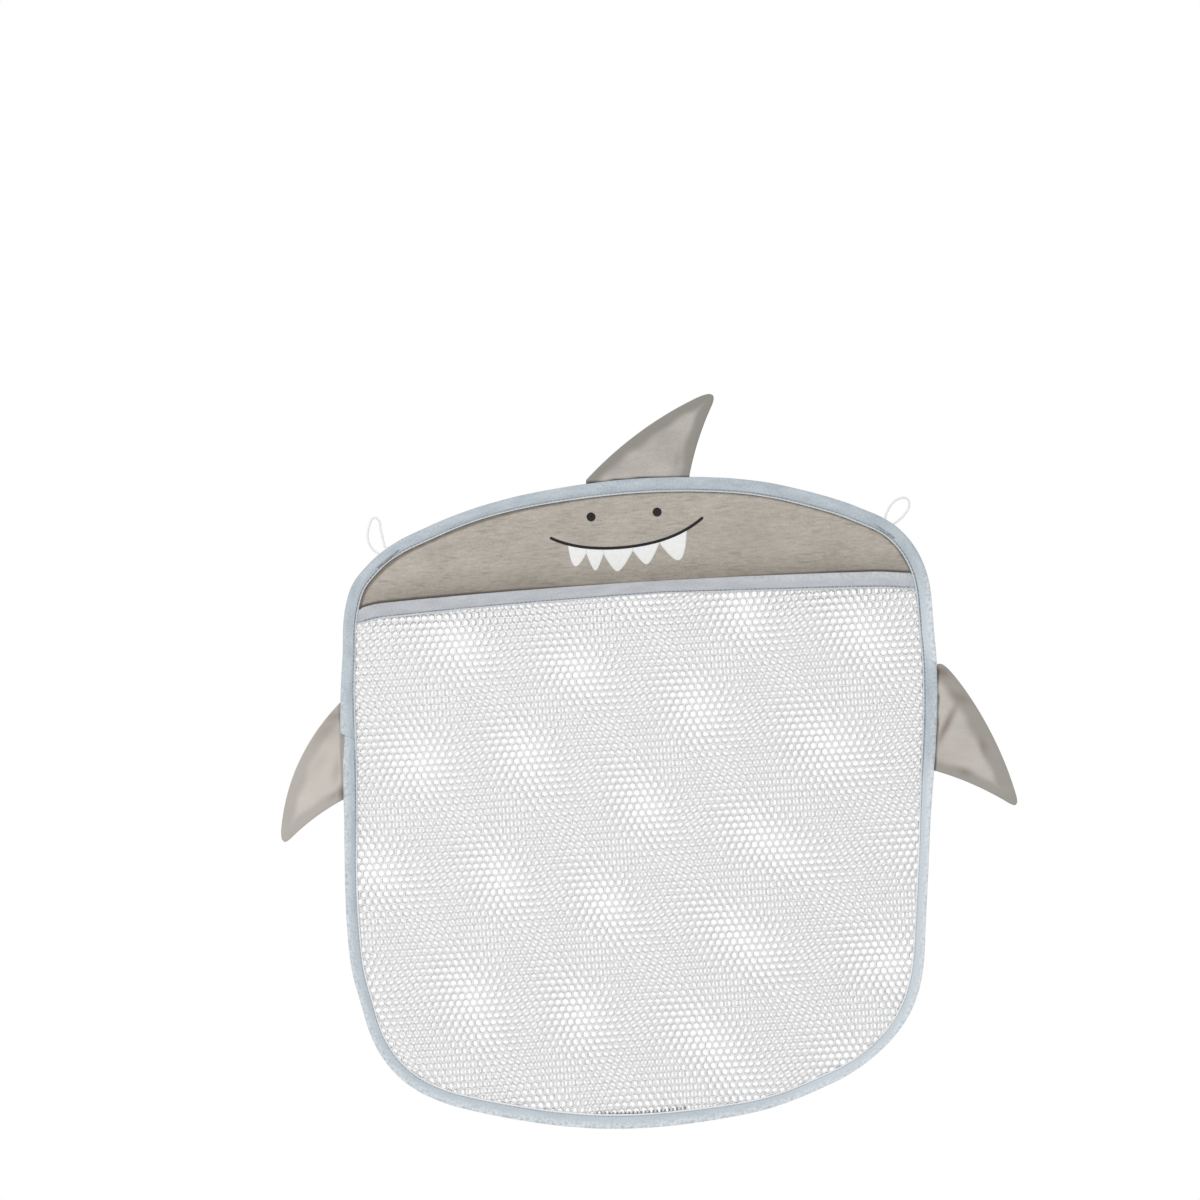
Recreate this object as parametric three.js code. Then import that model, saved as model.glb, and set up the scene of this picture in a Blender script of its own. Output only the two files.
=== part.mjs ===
// Bath toy organizer: a net pocket bag with a cloth shark head, hung on a wall by two cord loops.
// Millimetres, +Z up. The wall is the plane y = 0 and the front of the bag faces -Y.
// The origin is on the wall, midway between the loops and level with the hooks that they hang on.

import * as THREE from "three";

// Outline of the bag, to the outer edge of its binding
const shoulderWidth = 403;
const hemWidth = 387;
const bagHeight = 437;
const crownRise = 23.5; // top of the bag above the hooks
const crownRadius = 423;
const shoulderRadius = 80;
const hemRadius = 373;
const cornerRadius = 102;
const sideLean = 0.0485; // how far the hanging cloth drifts to the right for each millimetre of height
const chordError = 0.15; // how far a straight facet may cut inside a round stretch

// Layers of cloth, counted from the wall
const tapeThickness = 0.6;
const clothThickness = 0.6;
const netThickness = 0.6;
const layerGap = 0.3; // between two layers that lie on each other
const edgeGap = 0.3; // between two edges that meet in one layer
const bindingWidth = 10;
const bindingRound = 1.2; // how far the fold of the binding is rounded

// Head and pocket mouth
const headHeight = 70.2; // crown to the middle of the mouth
const mouthBow = 4.4; // how far the middle of the mouth stands above its ends
const mouthTilt = 0.01; // how far the mouth climbs to the right for each millimetre
const bandHeight = 12.5;
const bandClearance = 0.4; // between the band's two legs and the net that they hold
const bandSteps = 30;
const seamDrop = 6; // seam of head lining and back net below the mouth
const pocketDepth = 24; // how far the mouth stands open in the middle

// Net
const netPitch = 31;
const strandWidth = 5.5;
const netMargin = 2.5; // plain net between the gaps and the tapes
const frontNetTurn = 2; // degrees that the pocket's net is turned against the back net
const leastTurn = 1e-6; // radians by which two facets have to gain before their shared edge is turned

// Fins: length of the root along the edge, reach out from it, sweep of the tip along it, bows of the two edges
const dorsalRoot = 69.8;
const dorsalReach = 58.2;
const dorsalSweep = 59;
const dorsalLeadingBow = 6.2;
const dorsalTrailingBow = -2.4;
const dorsalTipRadius = 16;
const rightFinRoot = 78.2;
const rightFinReach = 61;
const rightFinSweep = 64;
const rightFinLeadingBow = 7.5;
const rightFinTrailingBow = -2.7;
const rightFinTipRadius = 9.8;
const leftFinRoot = 65.6;
const leftFinReach = 43.8;
const leftFinSweep = 65.3;
const leftFinLeadingBow = 10.8;
const leftFinTrailingBow = -2.5;
const leftFinTipRadius = 12;
const dorsalOffset = 2.4; // middle of the crown fin's root to the right of the hooks' middle
const rightFinDrop = 144; // middle of a side fin's root below the hooks
const leftFinDrop = 149.4;
const finGap = 0.5; // fin root to binding, so that the fin can turn
const finSteps = 12;

// Hanging loops and the bar tacks that hold them
const cordDiameter = 1.7;
const loopLength = 19.5;
const loopWidth = 11;
const loopFoot = 6.5; // between the two ends of one loop
const leftLoopAngle = 36.8; // degrees from upright, round the shoulder
const rightLoopAngle = 39;
const loopGap = 0.5;
const leftLoopLean = 10; // how far the tip of the loop leans along the edge, to the right
const rightLoopLean = 1;
const loopSteps = 30;
const cordSides = 8;
const tackLength = 18;
const tackWidth = 1.8;
const tackThickness = 0.5;
const tackInset = 7.5;

// Colours
const bindingBlue = 0xbbc5cc;
const bandBlue = 0xb4b7bb;
const headGrey = 0xafa99e;
const finGrey = 0xb6b2ab;
const netWhite = 0xe6e6e8;
const clearCord = 0xf1f1ee;
const tackGrey = 0x6a6c70;

// Outline: six tangent circles and two straight sides. A Vector2 holds x and the height z.
const crownTop = crownRise;
const hemBottom = crownTop - bagHeight;
const leanAt = (z) => sideLean * z;
const circle = (x, z, radius) => ({ centre: new THREE.Vector2(x, z), radius });
const crown = circle(leanAt(crownTop), crownTop - crownRadius, crownRadius);
const hem = circle(leanAt(hemBottom), hemBottom + hemRadius, hemRadius);

// A small circle that touches the big one from inside, above or below its centre
function nestedCircle(outer, radius, x, up) {
  const reach = outer.radius - radius;
  const rise = Math.sqrt(reach ** 2 - (x - outer.centre.x) ** 2);
  return circle(x, outer.centre.y + up * rise, radius);
}

function shoulder(side) {
  const x = leanAt(crownTop - shoulderRadius) + side * (shoulderWidth / 2 - shoulderRadius);
  return nestedCircle(crown, shoulderRadius, x, 1);
}

function corner(side) {
  const x = leanAt(hemBottom + cornerRadius) + side * (hemWidth / 2 - cornerRadius);
  return nestedCircle(hem, cornerRadius, x, -1);
}

// Direction in which a straight side faces, from the two circles that it touches
function sideAngle(upper, lower, side) {
  const span = upper.centre.clone().sub(lower.centre);
  return span.angle() - side * Math.acos((lower.radius - upper.radius) / span.length());
}

const directionTo = (from, to) => to.centre.clone().sub(from.centre).angle();
const direction = (angle) => new THREE.Vector2(Math.cos(angle), Math.sin(angle));

const [leftShoulder, rightShoulder] = [shoulder(-1), shoulder(1)];
const [leftCorner, rightCorner] = [corner(-1), corner(1)];
const leftFacing = sideAngle(leftShoulder, leftCorner, -1);
const rightFacing = sideAngle(rightShoulder, rightCorner, 1);

// The arcs anticlockwise from the right side, each from one facing angle to the next
const arcs = [
  { ...rightShoulder, from: rightFacing, to: directionTo(crown, rightShoulder), afterSide: true },
  { ...crown, from: directionTo(crown, rightShoulder), to: directionTo(crown, leftShoulder) },
  { ...leftShoulder, from: directionTo(crown, leftShoulder), to: leftFacing },
  { ...leftCorner, from: leftFacing, to: directionTo(hem, leftCorner), afterSide: true },
  { ...hem, from: directionTo(hem, leftCorner), to: directionTo(hem, rightCorner) },
  { ...rightCorner, from: directionTo(hem, rightCorner), to: rightFacing + 2 * Math.PI },
];

// Points of the outline, each with the direction in which the edge faces there
const rim = arcs.flatMap(({ centre, radius, from, to, afterSide }) => {
  const count = Math.ceil((to - from) / (2 * Math.acos(1 - chordError / radius)));
  const stops = Array.from({ length: count + 1 }, (_, i) => from + ((to - from) * i) / count);
  return (afterSide ? stops : stops.slice(1)).map((angle) => {
    const facing = direction(angle);
    return { point: centre.clone().addScaledVector(facing, radius), facing };
  });
});

const insetPoint = ({ point, facing }, inset) => point.clone().addScaledVector(facing, -inset);

// How deep a point lies inside a convex stretch of the outline
const depthInside = (stretch, p) => Math.min(...stretch.map((r) => r.point.clone().sub(p).dot(r.facing)));

// How far it is from a point to the edge, or to a line inset from the edge, in one direction
function castToEdge(p, towards, inset = 0) {
  const ahead = rim.filter((r) => r.facing.dot(towards) > 0);
  const reach = (r) => insetPoint(r, inset).sub(p).dot(r.facing) / r.facing.dot(towards);
  return Math.min(...ahead.map(reach));
}

// Back faces of the layers, towards the front
const backLayer = -(tapeThickness + layerGap);
const middleLayer = backLayer - Math.max(netThickness, clothThickness) - layerGap;
const middleRoom = Math.max(clothThickness + layerGap, tapeThickness + bandClearance);
const frontLayer = middleLayer - middleRoom;
const slotFront = frontLayer - netThickness - layerGap;
const bindingFront = slotFront - tapeThickness;
const bagMiddle = bindingFront / 2;
const layerInset = tapeThickness + layerGap; // edge of every layer inside the binding's fold

// Pocket mouth: its line across the bag, and how far the pocket swells forwards of its sewn edge
const mouthMiddle = crownTop - headHeight;
const halfMouth = shoulderWidth / 2;
const mouthCentre = leanAt(mouthMiddle);
const mouthLine = (x) => {
  const aside = x - mouthCentre;
  return mouthMiddle + mouthTilt * aside - mouthBow * (aside / halfMouth) ** 2;
};
const pocketRim = rim.filter((r) => r.point.y < mouthMiddle + bandHeight);
const sewnEdge = bindingWidth + edgeGap;

function pocketSwell(x, z) {
  const inwards = (depthInside(pocketRim, new THREE.Vector2(x, z)) - sewnEdge) / (halfMouth - sewnEdge);
  const across = THREE.MathUtils.clamp(inwards, 0, 1);
  const upwards = THREE.MathUtils.clamp((z - hemBottom) / (mouthMiddle - hemBottom), 0, 1);
  return pocketDepth * (1 - (1 - across) ** 2) * (1 - (1 - upwards) ** 2);
}

// The stretch of the inset outline that lies above or below a line across the bag
function edgeStretch(inset, line, keepAbove) {
  const loop = rim.map((r) => insetPoint(r, inset));
  const height = (p) => p.y - line(p.x);
  const isKept = (p) => height(p) > 0 === keepAbove;
  const first = loop.findIndex((p, i) => isKept(p) && !isKept(loop.at(i - 1)));
  const turned = [...loop.slice(first), ...loop.slice(0, first)];
  const count = turned.findIndex((p) => !isKept(p));
  const cut = (p, q) => {
    const x = THREE.MathUtils.lerp(p.x, q.x, height(p) / (height(p) - height(q)));
    return new THREE.Vector2(x, line(x));
  };
  return [cut(turned.at(-1), turned[0]), ...turned.slice(0, count), cut(turned[count - 1], turned[count])];
}

// Points along the line, from the end of that stretch back to its start
function rowAcross(stretch, line) {
  return Array.from({ length: bandSteps + 1 }, (_, i) => {
    const x = THREE.MathUtils.lerp(stretch.at(-1).x, stretch[0].x, i / bandSteps);
    return new THREE.Vector2(x, line(x));
  });
}

// That stretch, closed along the line
function partOfBag(inset, line, keepAbove) {
  const stretch = edgeStretch(inset, line, keepAbove);
  return [...stretch, ...rowAcross(stretch, line).slice(1, -1)];
}

// Builders of solids

// A flat layer: its outline in x and z, its back face at y = 0, its thickness towards the front
function layer(outline, holes, thickness) {
  const shape = new THREE.Shape(outline);
  shape.holes = holes.map((hole) => new THREE.Path(hole));
  const geometry = new THREE.ExtrudeGeometry(shape, { depth: thickness, bevelEnabled: false });
  return geometry.rotateX(Math.PI / 2);
}

// Turns the shared edge of two triangles wherever that makes them less narrow
function evenTriangles(points, triangles) {
  const way = (from, to) => points[to].clone().sub(points[from]);
  const angleAt = (tip, a, b) => way(tip, a).angleTo(way(tip, b));
  const turned = new Set();
  const seen = new Map();
  triangles.forEach(([a, b, c], own) => {
    for (const [from, to, tip] of [[a, b, c], [b, c, a], [c, a, b]]) {
      seen.set(`${from},${to}`, { own, tip });
      const across = seen.get(`${to},${from}`);
      if (!across || turned.has(own) || turned.has(across.own)) continue;
      if (angleAt(tip, from, to) + angleAt(across.tip, from, to) < Math.PI + leastTurn) continue;
      triangles[own] = [from, across.tip, tip];
      triangles[across.own] = [across.tip, to, tip];
      turned.add(own).add(across.own);
    }
  });
  return turned.size > 0 ? evenTriangles(points, triangles) : triangles;
}

// A layer of several regions that share the points of the edges where they meet, swollen towards the front
function swollenLayer(regions, thickness, swell) {
  const points = [];
  const numbers = new Map();
  const numberOf = (p) => {
    const key = `${p.x},${p.y}`;
    if (!numbers.has(key)) numbers.set(key, points.push(p) - 1);
    return numbers.get(key);
  };
  const triangles = regions.flatMap(({ outline, holes }) => {
    const corners = [outline, ...holes].flat();
    const found = evenTriangles(corners, THREE.ShapeUtils.triangulateShape(outline, holes));
    return found.map((triangle) => triangle.map((i) => numberOf(corners[i])));
  });
  const count = points.length;
  const rims = new Map();
  for (const [a, b, c] of triangles) {
    for (const [from, to] of [[a, b], [b, c], [c, a]]) {
      if (!rims.delete(`${to},${from}`)) rims.set(`${from},${to}`, [from, to]);
    }
  }
  const faces = triangles.flatMap(([a, b, c]) => [a, b, c, count + a, count + c, count + b]);
  const walls = [...rims.values()].flatMap(([a, b]) => [b, a, count + a, b, count + a, count + b]);
  const front = points.map((p) => new THREE.Vector3(p.x, -thickness - swell(p.x, p.y), p.y));
  const back = points.map((p) => new THREE.Vector3(p.x, -swell(p.x, p.y), p.y));
  const geometry = new THREE.BufferGeometry().setFromPoints([...front, ...back]);
  geometry.setIndex([...faces, ...walls]);
  return geometry;
}

// A skin over a row of sections with equal point counts, either closed to a ring or capped at both ends
function loft(sections, isRing) {
  const size = sections[0].length;
  const spans = isRing ? sections.length : sections.length - 1;
  const index = [];
  for (let i = 0; i < spans; i++) {
    const next = (i + 1) % sections.length;
    for (let j = 0; j < size; j++) {
      const side = (j + 1) % size;
      const [a, b, c, d] = [i * size + j, i * size + side, next * size + side, next * size + j];
      index.push(a, c, b, a, d, c);
    }
  }
  if (!isRing) {
    const flat = sections[0].map((p) => new THREE.Vector2(p.y, p.z));
    const last = (sections.length - 1) * size;
    for (const [a, b, c] of THREE.ShapeUtils.triangulateShape(flat, [])) {
      index.push(a, b, c, last + a, last + c, last + b);
    }
  }
  const geometry = new THREE.BufferGeometry().setFromPoints(sections.flat());
  geometry.setIndex(index);
  return geometry;
}

function addPiece(group, name, geometry, color, y = 0) {
  const material = new THREE.MeshStandardMaterial({ color, roughness: 0.85, metalness: 0 });
  const mesh = new THREE.Mesh(geometry, material);
  mesh.name = name;
  mesh.position.y = y;
  group.add(mesh);
  return mesh;
}

// Tape folded round the whole edge, open towards the middle of the bag
function edgeBinding() {
  const section = [
    [bindingWidth, 0],
    [bindingRound, 0],
    [0, -bindingRound],
    [0, bindingFront + bindingRound],
    [bindingRound, bindingFront],
    [bindingWidth, bindingFront],
    [bindingWidth, slotFront],
    [tapeThickness, slotFront],
    [tapeThickness, -tapeThickness],
    [bindingWidth, -tapeThickness],
  ];
  const sections = rim.map((r) =>
    section.map(([inset, y]) => {
      const p = insetPoint(r, inset);
      return new THREE.Vector3(p.x, y, p.y);
    }),
  );
  return loft(sections, true);
}

// Six-sided gaps in rows, wherever a whole gap fits between the binding and the net's upper hem
function netGaps(upperHem, turn) {
  const radius = (netPitch - strandWidth) / Math.sqrt(3);
  const slack = netMargin + mouthBow + halfMouth * Math.sin(turn);
  const pivot = new THREE.Vector2(mouthCentre, upperHem(mouthCentre) - slack - radius);
  const rowStep = (netPitch * Math.sqrt(3)) / 2;
  const rows = Math.ceil(bagHeight / rowStep);
  const columns = Math.ceil(shoulderWidth / netPitch);
  const fits = (p) => depthInside(rim, p) > bindingWidth + netMargin && p.y < upperHem(p.x) - netMargin;
  const gaps = [];
  for (let row = 0; row < rows; row++) {
    for (let column = -columns; column <= columns; column++) {
      const x = (column + (row % 2) / 2) * netPitch;
      const middle = new THREE.Vector2(x, -row * rowStep).add(pivot);
      const gap = Array.from({ length: 6 }, (_, i) =>
        direction(Math.PI / 6 + (i * Math.PI) / 3)
          .multiplyScalar(radius)
          .add(middle)
          .rotateAround(pivot, turn),
      );
      if (gap.every(fits)) gaps.push(gap);
    }
  }
  return gaps;
}

function backNet() {
  const top = (x) => mouthLine(x) - seamDrop - edgeGap;
  const gaps = netGaps((x) => mouthLine(x) - Math.max(bandHeight, seamDrop), 0);
  return layer(partOfBag(layerInset, top, false), gaps, netThickness);
}

// Three regions: the flat margin sewn into the binding, the strip inside the band, and the open net
function frontNet() {
  const top = (x) => mouthLine(x) - tapeThickness - bandClearance;
  const foot = (x) => mouthLine(x) - bandHeight - edgeGap;
  const topStretch = edgeStretch(sewnEdge, top, false);
  const footStretch = edgeStretch(sewnEdge, foot, false);
  const topRow = rowAcross(topStretch, top);
  const footRow = rowAcross(footStretch, foot);
  const outer = edgeStretch(layerInset, top, false);
  const sewn = [...outer, topStretch.at(-1), ...footStretch.toReversed(), topStretch[0]];
  const banded = topRow.slice(1).map((p, i) => [topRow[i], p, footRow[i + 1], footRow[i]]);
  const open = [...footStretch, ...footRow.slice(1, -1)];
  const gaps = netGaps(foot, THREE.MathUtils.degToRad(frontNetTurn));
  const plain = [sewn, ...banded].map((outline) => ({ outline, holes: [] }));
  return swollenLayer([...plain, { outline: open, holes: gaps }], netThickness, pocketSwell);
}

// Tape folded over the top of the pocket's net, from one inner edge of the binding to the other
function mouthBand() {
  const [netBack, netFront] = [frontLayer, frontLayer - netThickness];
  const [innerBack, innerFront] = [netBack + bandClearance, netFront - bandClearance];
  const [back, front] = [innerBack + tapeThickness, innerFront - tapeThickness];
  const section = [
    [back, -bandHeight],
    [back, 0],
    [front, 0],
    [front, -bandHeight],
    [innerFront, -bandHeight],
    [innerFront, -tapeThickness],
    [innerBack, -tapeThickness],
    [innerBack, -bandHeight],
  ];
  const endAt = (drop, side) => {
    const start = new THREE.Vector2(mouthCentre, mouthLine(mouthCentre + side * halfMouth) + drop);
    return mouthCentre + side * castToEdge(start, new THREE.Vector2(side, 0), sewnEdge + chordError);
  };
  const sections = Array.from({ length: bandSteps + 1 }, (_, i) =>
    section.map(([y, drop]) => {
      const x = THREE.MathUtils.lerp(endAt(drop, 1), endAt(drop, -1), i / bandSteps);
      const z = mouthLine(x) + drop;
      return new THREE.Vector3(x, y - pocketSwell(x, z), z);
    }),
  );
  return loft(sections, false);
}

const fins = [
  {
    name: "dorsal_fin",
    root: dorsalRoot,
    reach: dorsalReach,
    sweep: dorsalSweep,
    leadingBow: dorsalLeadingBow,
    trailingBow: dorsalTrailingBow,
    tipRadius: dorsalTipRadius,
  },
  {
    name: "right_fin",
    root: rightFinRoot,
    reach: rightFinReach,
    sweep: rightFinSweep,
    leadingBow: rightFinLeadingBow,
    trailingBow: rightFinTrailingBow,
    tipRadius: rightFinTipRadius,
  },
  {
    name: "left_fin",
    root: leftFinRoot,
    reach: leftFinReach,
    sweep: leftFinSweep,
    leadingBow: leftFinLeadingBow,
    trailingBow: leftFinTrailingBow,
    tipRadius: leftFinTipRadius,
  },
];

// Where a fin's root sits: a point on the edge, the way out, and the way along the edge to the tip's side
function finSeat(name) {
  if (name === "dorsal_fin") {
    const start = new THREE.Vector2(dorsalOffset, mouthMiddle);
    const out = direction(directionTo(crown, circle(dorsalOffset, crownTop, 0)));
    const point = start.clone().setY(mouthMiddle + castToEdge(start, new THREE.Vector2(0, 1)));
    return { point, out, along: new THREE.Vector2(out.y, -out.x) };
  }
  const side = name === "right_fin" ? 1 : -1;
  const drop = side > 0 ? rightFinDrop : leftFinDrop;
  const start = new THREE.Vector2(leanAt(-drop), -drop);
  const out = direction(side > 0 ? rightFacing : leftFacing);
  const reach = castToEdge(start, new THREE.Vector2(side, 0));
  const point = start.clone().setX(start.x + side * reach);
  return { point, out, along: new THREE.Vector2(side * out.y, -side * out.x) };
}

// An edge of a fin, bowed out from the straight line between its ends
function bowedEdge(from, to, bow) {
  const across = to.clone().sub(from).normalize().rotateAround(new THREE.Vector2(), Math.PI / 2);
  const control = from.clone().lerp(to, 0.5).addScaledVector(across, 2 * bow);
  return new THREE.QuadraticBezierCurve(from, control, to).getPoints(2 * finSteps);
}

// Outline of a fin, along its seat (x) and out from it (y)
function finOutline(fin, seat) {
  const rootPoint = (i) => {
    const along = fin.root * (i / finSteps - 0.5);
    const inside = seat.point.clone().addScaledVector(seat.along, along);
    inside.addScaledVector(seat.out, -bindingWidth);
    return new THREE.Vector2(along, castToEdge(inside, seat.out) - bindingWidth + finGap);
  };
  const root = Array.from({ length: finSteps + 1 }, (_, i) => rootPoint(finSteps - i));
  const tip = new THREE.Vector2(fin.sweep, fin.reach);
  const isClear = (p) => p.distanceTo(tip) > fin.tipRadius;
  const leading = bowedEdge(root[finSteps], tip, fin.leadingBow).filter(isClear);
  const trailing = bowedEdge(tip, root[0], fin.trailingBow).filter(isClear);
  const round = new THREE.QuadraticBezierCurve(leading.at(-1), tip, trailing[0]).getPoints(finSteps);
  return [...root.slice(0, -1), ...leading, ...round.slice(1, -1), ...trailing.slice(0, -1)];
}

function addFin(group, fin) {
  const seat = finSeat(fin.name);
  const outline = finOutline(fin, seat).map(({ x, y }) =>
    seat.point.clone().addScaledVector(seat.along, x).addScaledVector(seat.out, y),
  );
  const ply = () => layer(outline, [], clothThickness);
  addPiece(group, `${fin.name}_front`, ply(), finGrey, bagMiddle - layerGap / 2);
  addPiece(group, `${fin.name}_back`, ply(), finGrey, bagMiddle + layerGap / 2 + clothThickness);
}

// Where a loop stands on the shoulder: the middle of its foot, the way out and the way along the edge
function loopSeat(side) {
  const { centre, radius } = side > 0 ? rightShoulder : leftShoulder;
  const angle = side > 0 ? rightLoopAngle : leftLoopAngle;
  const out = direction(Math.PI / 2 - side * THREE.MathUtils.degToRad(angle));
  return { centre, radius, out, along: new THREE.Vector2(out.y, -out.x) };
}

// A drop-shaped loop of cord that leaves the edge squarely, then leans
function hangLoop(side, lean) {
  const { centre, radius, out, along } = loopSeat(side);
  const half = [
    [loopFoot / 2, 0],
    [loopFoot / 2 + 0.1 * loopWidth, 0.15 * loopLength],
    [loopWidth / 2, 0.55 * loopLength],
    [0.35 * loopWidth, 0.87 * loopLength],
  ];
  const mirrored = half.map(([x, y]) => [-x, y]).reverse();
  const points = [...half, [0, loopLength], ...mirrored].map(([x, y]) => {
    const leaning = x + lean * (y / loopLength) ** 2;
    const p = centre.clone().addScaledVector(out, radius + loopGap + y).addScaledVector(along, leaning);
    return new THREE.Vector3(p.x, 0, p.y);
  });
  const section = Array.from({ length: cordSides }, (_, i) =>
    direction((2 * Math.PI * i) / cordSides).multiplyScalar(cordDiameter / 2),
  );
  const extrudePath = new THREE.CatmullRomCurve3(points);
  return new THREE.ExtrudeGeometry(new THREE.Shape(section), { steps: loopSteps, extrudePath });
}

// A bar of close stitches across the foot of a loop, on the front of the binding
function barTack(side) {
  const { centre, radius, out, along } = loopSeat(side);
  const middle = centre.clone().addScaledVector(out, radius - tackInset);
  const corners = [
    [-1, -1],
    [1, -1],
    [1, 1],
    [-1, 1],
  ];
  const outline = corners.map(([x, y]) =>
    middle.clone().addScaledVector(along, (x * tackLength) / 2).addScaledVector(out, (y * tackWidth) / 2),
  );
  return layer(outline, [], tackThickness);
}

const bag = new THREE.Group();
const liningEdge = (x) => mouthLine(x) - seamDrop;
const headEdge = (x) => mouthLine(x) + edgeGap;
const headLining = layer(partOfBag(layerInset, liningEdge, true), [], clothThickness);
const headFront = layer(partOfBag(layerInset, headEdge, true), [], clothThickness);

addPiece(bag, "edge_binding", edgeBinding(), bindingBlue);
addPiece(bag, "back_net", backNet(), netWhite, backLayer);
addPiece(bag, "head_lining", headLining, headGrey, backLayer);
addPiece(bag, "head_front", headFront, headGrey, middleLayer);
addPiece(bag, "front_net", frontNet(), netWhite, frontLayer);
addPiece(bag, "mouth_band", mouthBand(), bandBlue);
for (const fin of fins) addFin(bag, fin);
addPiece(bag, "left_hang_loop", hangLoop(-1, leftLoopLean), clearCord, bagMiddle);
addPiece(bag, "right_hang_loop", hangLoop(1, rightLoopLean), clearCord, bagMiddle);
addPiece(bag, "left_bar_tack", barTack(-1), tackGrey, bindingFront - layerGap);
addPiece(bag, "right_bar_tack", barTack(1), tackGrey, bindingFront - layerGap);

export default bag;
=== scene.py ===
# %% [markdown]
# # A hanging net bag for bath toys
# The bag has a flat cloth head with three fins, two layers of knitted net below it, a tape folded round the whole
# edge, and two clear cord loops to hang it by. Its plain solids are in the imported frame, in metres, with the wall
# at y = 0 and the front towards -Y. Each step below dresses one of them with the soft piece that it stands for.

# %% Load the frame
import math

import bpy
import numpy as np
from mathutils import Matrix, Vector


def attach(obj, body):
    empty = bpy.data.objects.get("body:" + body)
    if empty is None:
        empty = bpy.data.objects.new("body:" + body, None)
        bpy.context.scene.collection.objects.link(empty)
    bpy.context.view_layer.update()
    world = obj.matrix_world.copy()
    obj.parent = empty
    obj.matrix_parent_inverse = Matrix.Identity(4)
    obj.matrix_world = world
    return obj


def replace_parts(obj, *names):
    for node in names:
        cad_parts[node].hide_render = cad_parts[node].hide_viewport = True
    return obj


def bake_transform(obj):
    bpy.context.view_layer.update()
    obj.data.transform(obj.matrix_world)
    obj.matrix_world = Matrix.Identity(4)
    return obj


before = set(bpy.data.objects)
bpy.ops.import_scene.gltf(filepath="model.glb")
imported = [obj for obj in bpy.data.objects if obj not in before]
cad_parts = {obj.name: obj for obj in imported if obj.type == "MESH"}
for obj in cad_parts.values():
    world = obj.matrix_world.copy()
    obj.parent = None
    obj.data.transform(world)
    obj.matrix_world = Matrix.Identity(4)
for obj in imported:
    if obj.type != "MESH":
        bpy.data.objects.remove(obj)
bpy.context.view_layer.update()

MM = 0.001

# %% [markdown]
# ## Camera
# The bag was photographed straight from the front, a little turned in the picture. A camera that is turned about
# its own line of sight gives that, so the bag itself can hang upright in its frame. A long lens from 2.4 m keeps
# the sides of the bag as parallel as they look.

# %% Camera
view_distance = 2.4
view_width = 0.8076
view_turn = math.radians(3.0)
view_middle = (-0.0272, -0.0573)


def placed(name, data):
    """A new object in the scene, at the origin."""
    made = bpy.data.objects.new(name, data)
    bpy.context.collection.objects.link(made)
    return made


lens_body = bpy.data.cameras.new("camera")
lens_body.lens = lens_body.sensor_width * view_distance / view_width
camera = placed("camera", lens_body)
stand = Matrix.Translation((view_middle[0], -view_distance, view_middle[1]))
camera.matrix_world = stand @ Matrix.Rotation(math.pi / 2, 4, "X") @ Matrix.Rotation(-view_turn, 4, "Z")
bpy.context.scene.camera = camera
print("lens:", round(lens_body.lens, 1), "mm")

# %% [markdown]
# ## Outline
# Every piece of the bag is cut to one outline: six circles that touch each other, and two straight sides. It could
# be read off the solids, but writing it as circles gives any number of points, each with the direction in which
# the edge faces, and so any line that runs alongside the edge.

# %% Circles of the outline
shoulder_width = 403 * MM
hem_width = 387 * MM
bag_height = 437 * MM
crown_rise = 23.5 * MM
crown_radius = 423 * MM
shoulder_radius = 80 * MM
hem_radius = 373 * MM
corner_radius = 102 * MM
side_lean = 0.0485
hem_bottom = crown_rise - bag_height
sides = (-1, 1)


def rounding(big, radius, width, end, up, side):
    """The circle that rounds one corner of the bag and touches the crown's or the hem's circle from inside."""
    x = side_lean * (end - up * radius) + side * (width / 2 - radius)
    rise = math.sqrt((big[2] - radius) ** 2 - (x - big[0]) ** 2)
    return x, big[1] + up * rise, radius


def heading(start, end):
    return math.atan2(end[1] - start[1], end[0] - start[0]) % (2 * math.pi)


def side_facing(upper, lower, side):
    """The direction in which the straight side faces that touches both circles."""
    span = math.dist(upper[:2], lower[:2])
    return heading(lower, upper) - side * math.acos((lower[2] - upper[2]) / span)


crown = (side_lean * crown_rise, crown_rise - crown_radius, crown_radius)
hem = (side_lean * hem_bottom, hem_bottom + hem_radius, hem_radius)
shoulders = {side: rounding(crown, shoulder_radius, shoulder_width, crown_rise, 1, side) for side in sides}
corners = {side: rounding(hem, corner_radius, hem_width, hem_bottom, -1, side) for side in sides}
facings = {side: side_facing(shoulders[side], corners[side], side) for side in sides}


# %% Lines through points
def run_along(line):
    """How far along a line each of its points lies."""
    return np.concatenate([[0], np.cumsum(np.hypot(*np.diff(line[:, :2], axis=0).T))])


def evenly(line, count):
    """The same line at even steps."""
    along = run_along(line)
    return np.stack([np.interp(np.linspace(0, along[-1], count), along, column) for column in line.T], 1)


def bent(start, control, end, t):
    """Points of a curve from a start to an end that is drawn towards a control point."""
    return (1 - t) ** 2 * start + 2 * t * (1 - t) * control + t**2 * end


# %% Points along the outline
circles = [shoulders[1], crown, shoulders[-1], corners[-1], hem, corners[1]]
turns = [facings[1], heading(crown, shoulders[1]), heading(crown, shoulders[-1]), facings[-1]]
turns += [heading(hem, corners[-1]), heading(hem, corners[1]), facings[1] + 2 * math.pi]
arc_points, edge_points = 240, 2400
stops = []
for (x, z, radius), start, end in zip(circles, turns, turns[1:]):
    turn = np.linspace(start, end, arc_points)
    stops.append(np.stack([x + radius * np.cos(turn), z + radius * np.sin(turn), turn], 1))
stops.append(stops[0][:1] + (0, 0, 2 * math.pi))
stops = evenly(np.concatenate(stops), edge_points)

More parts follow.
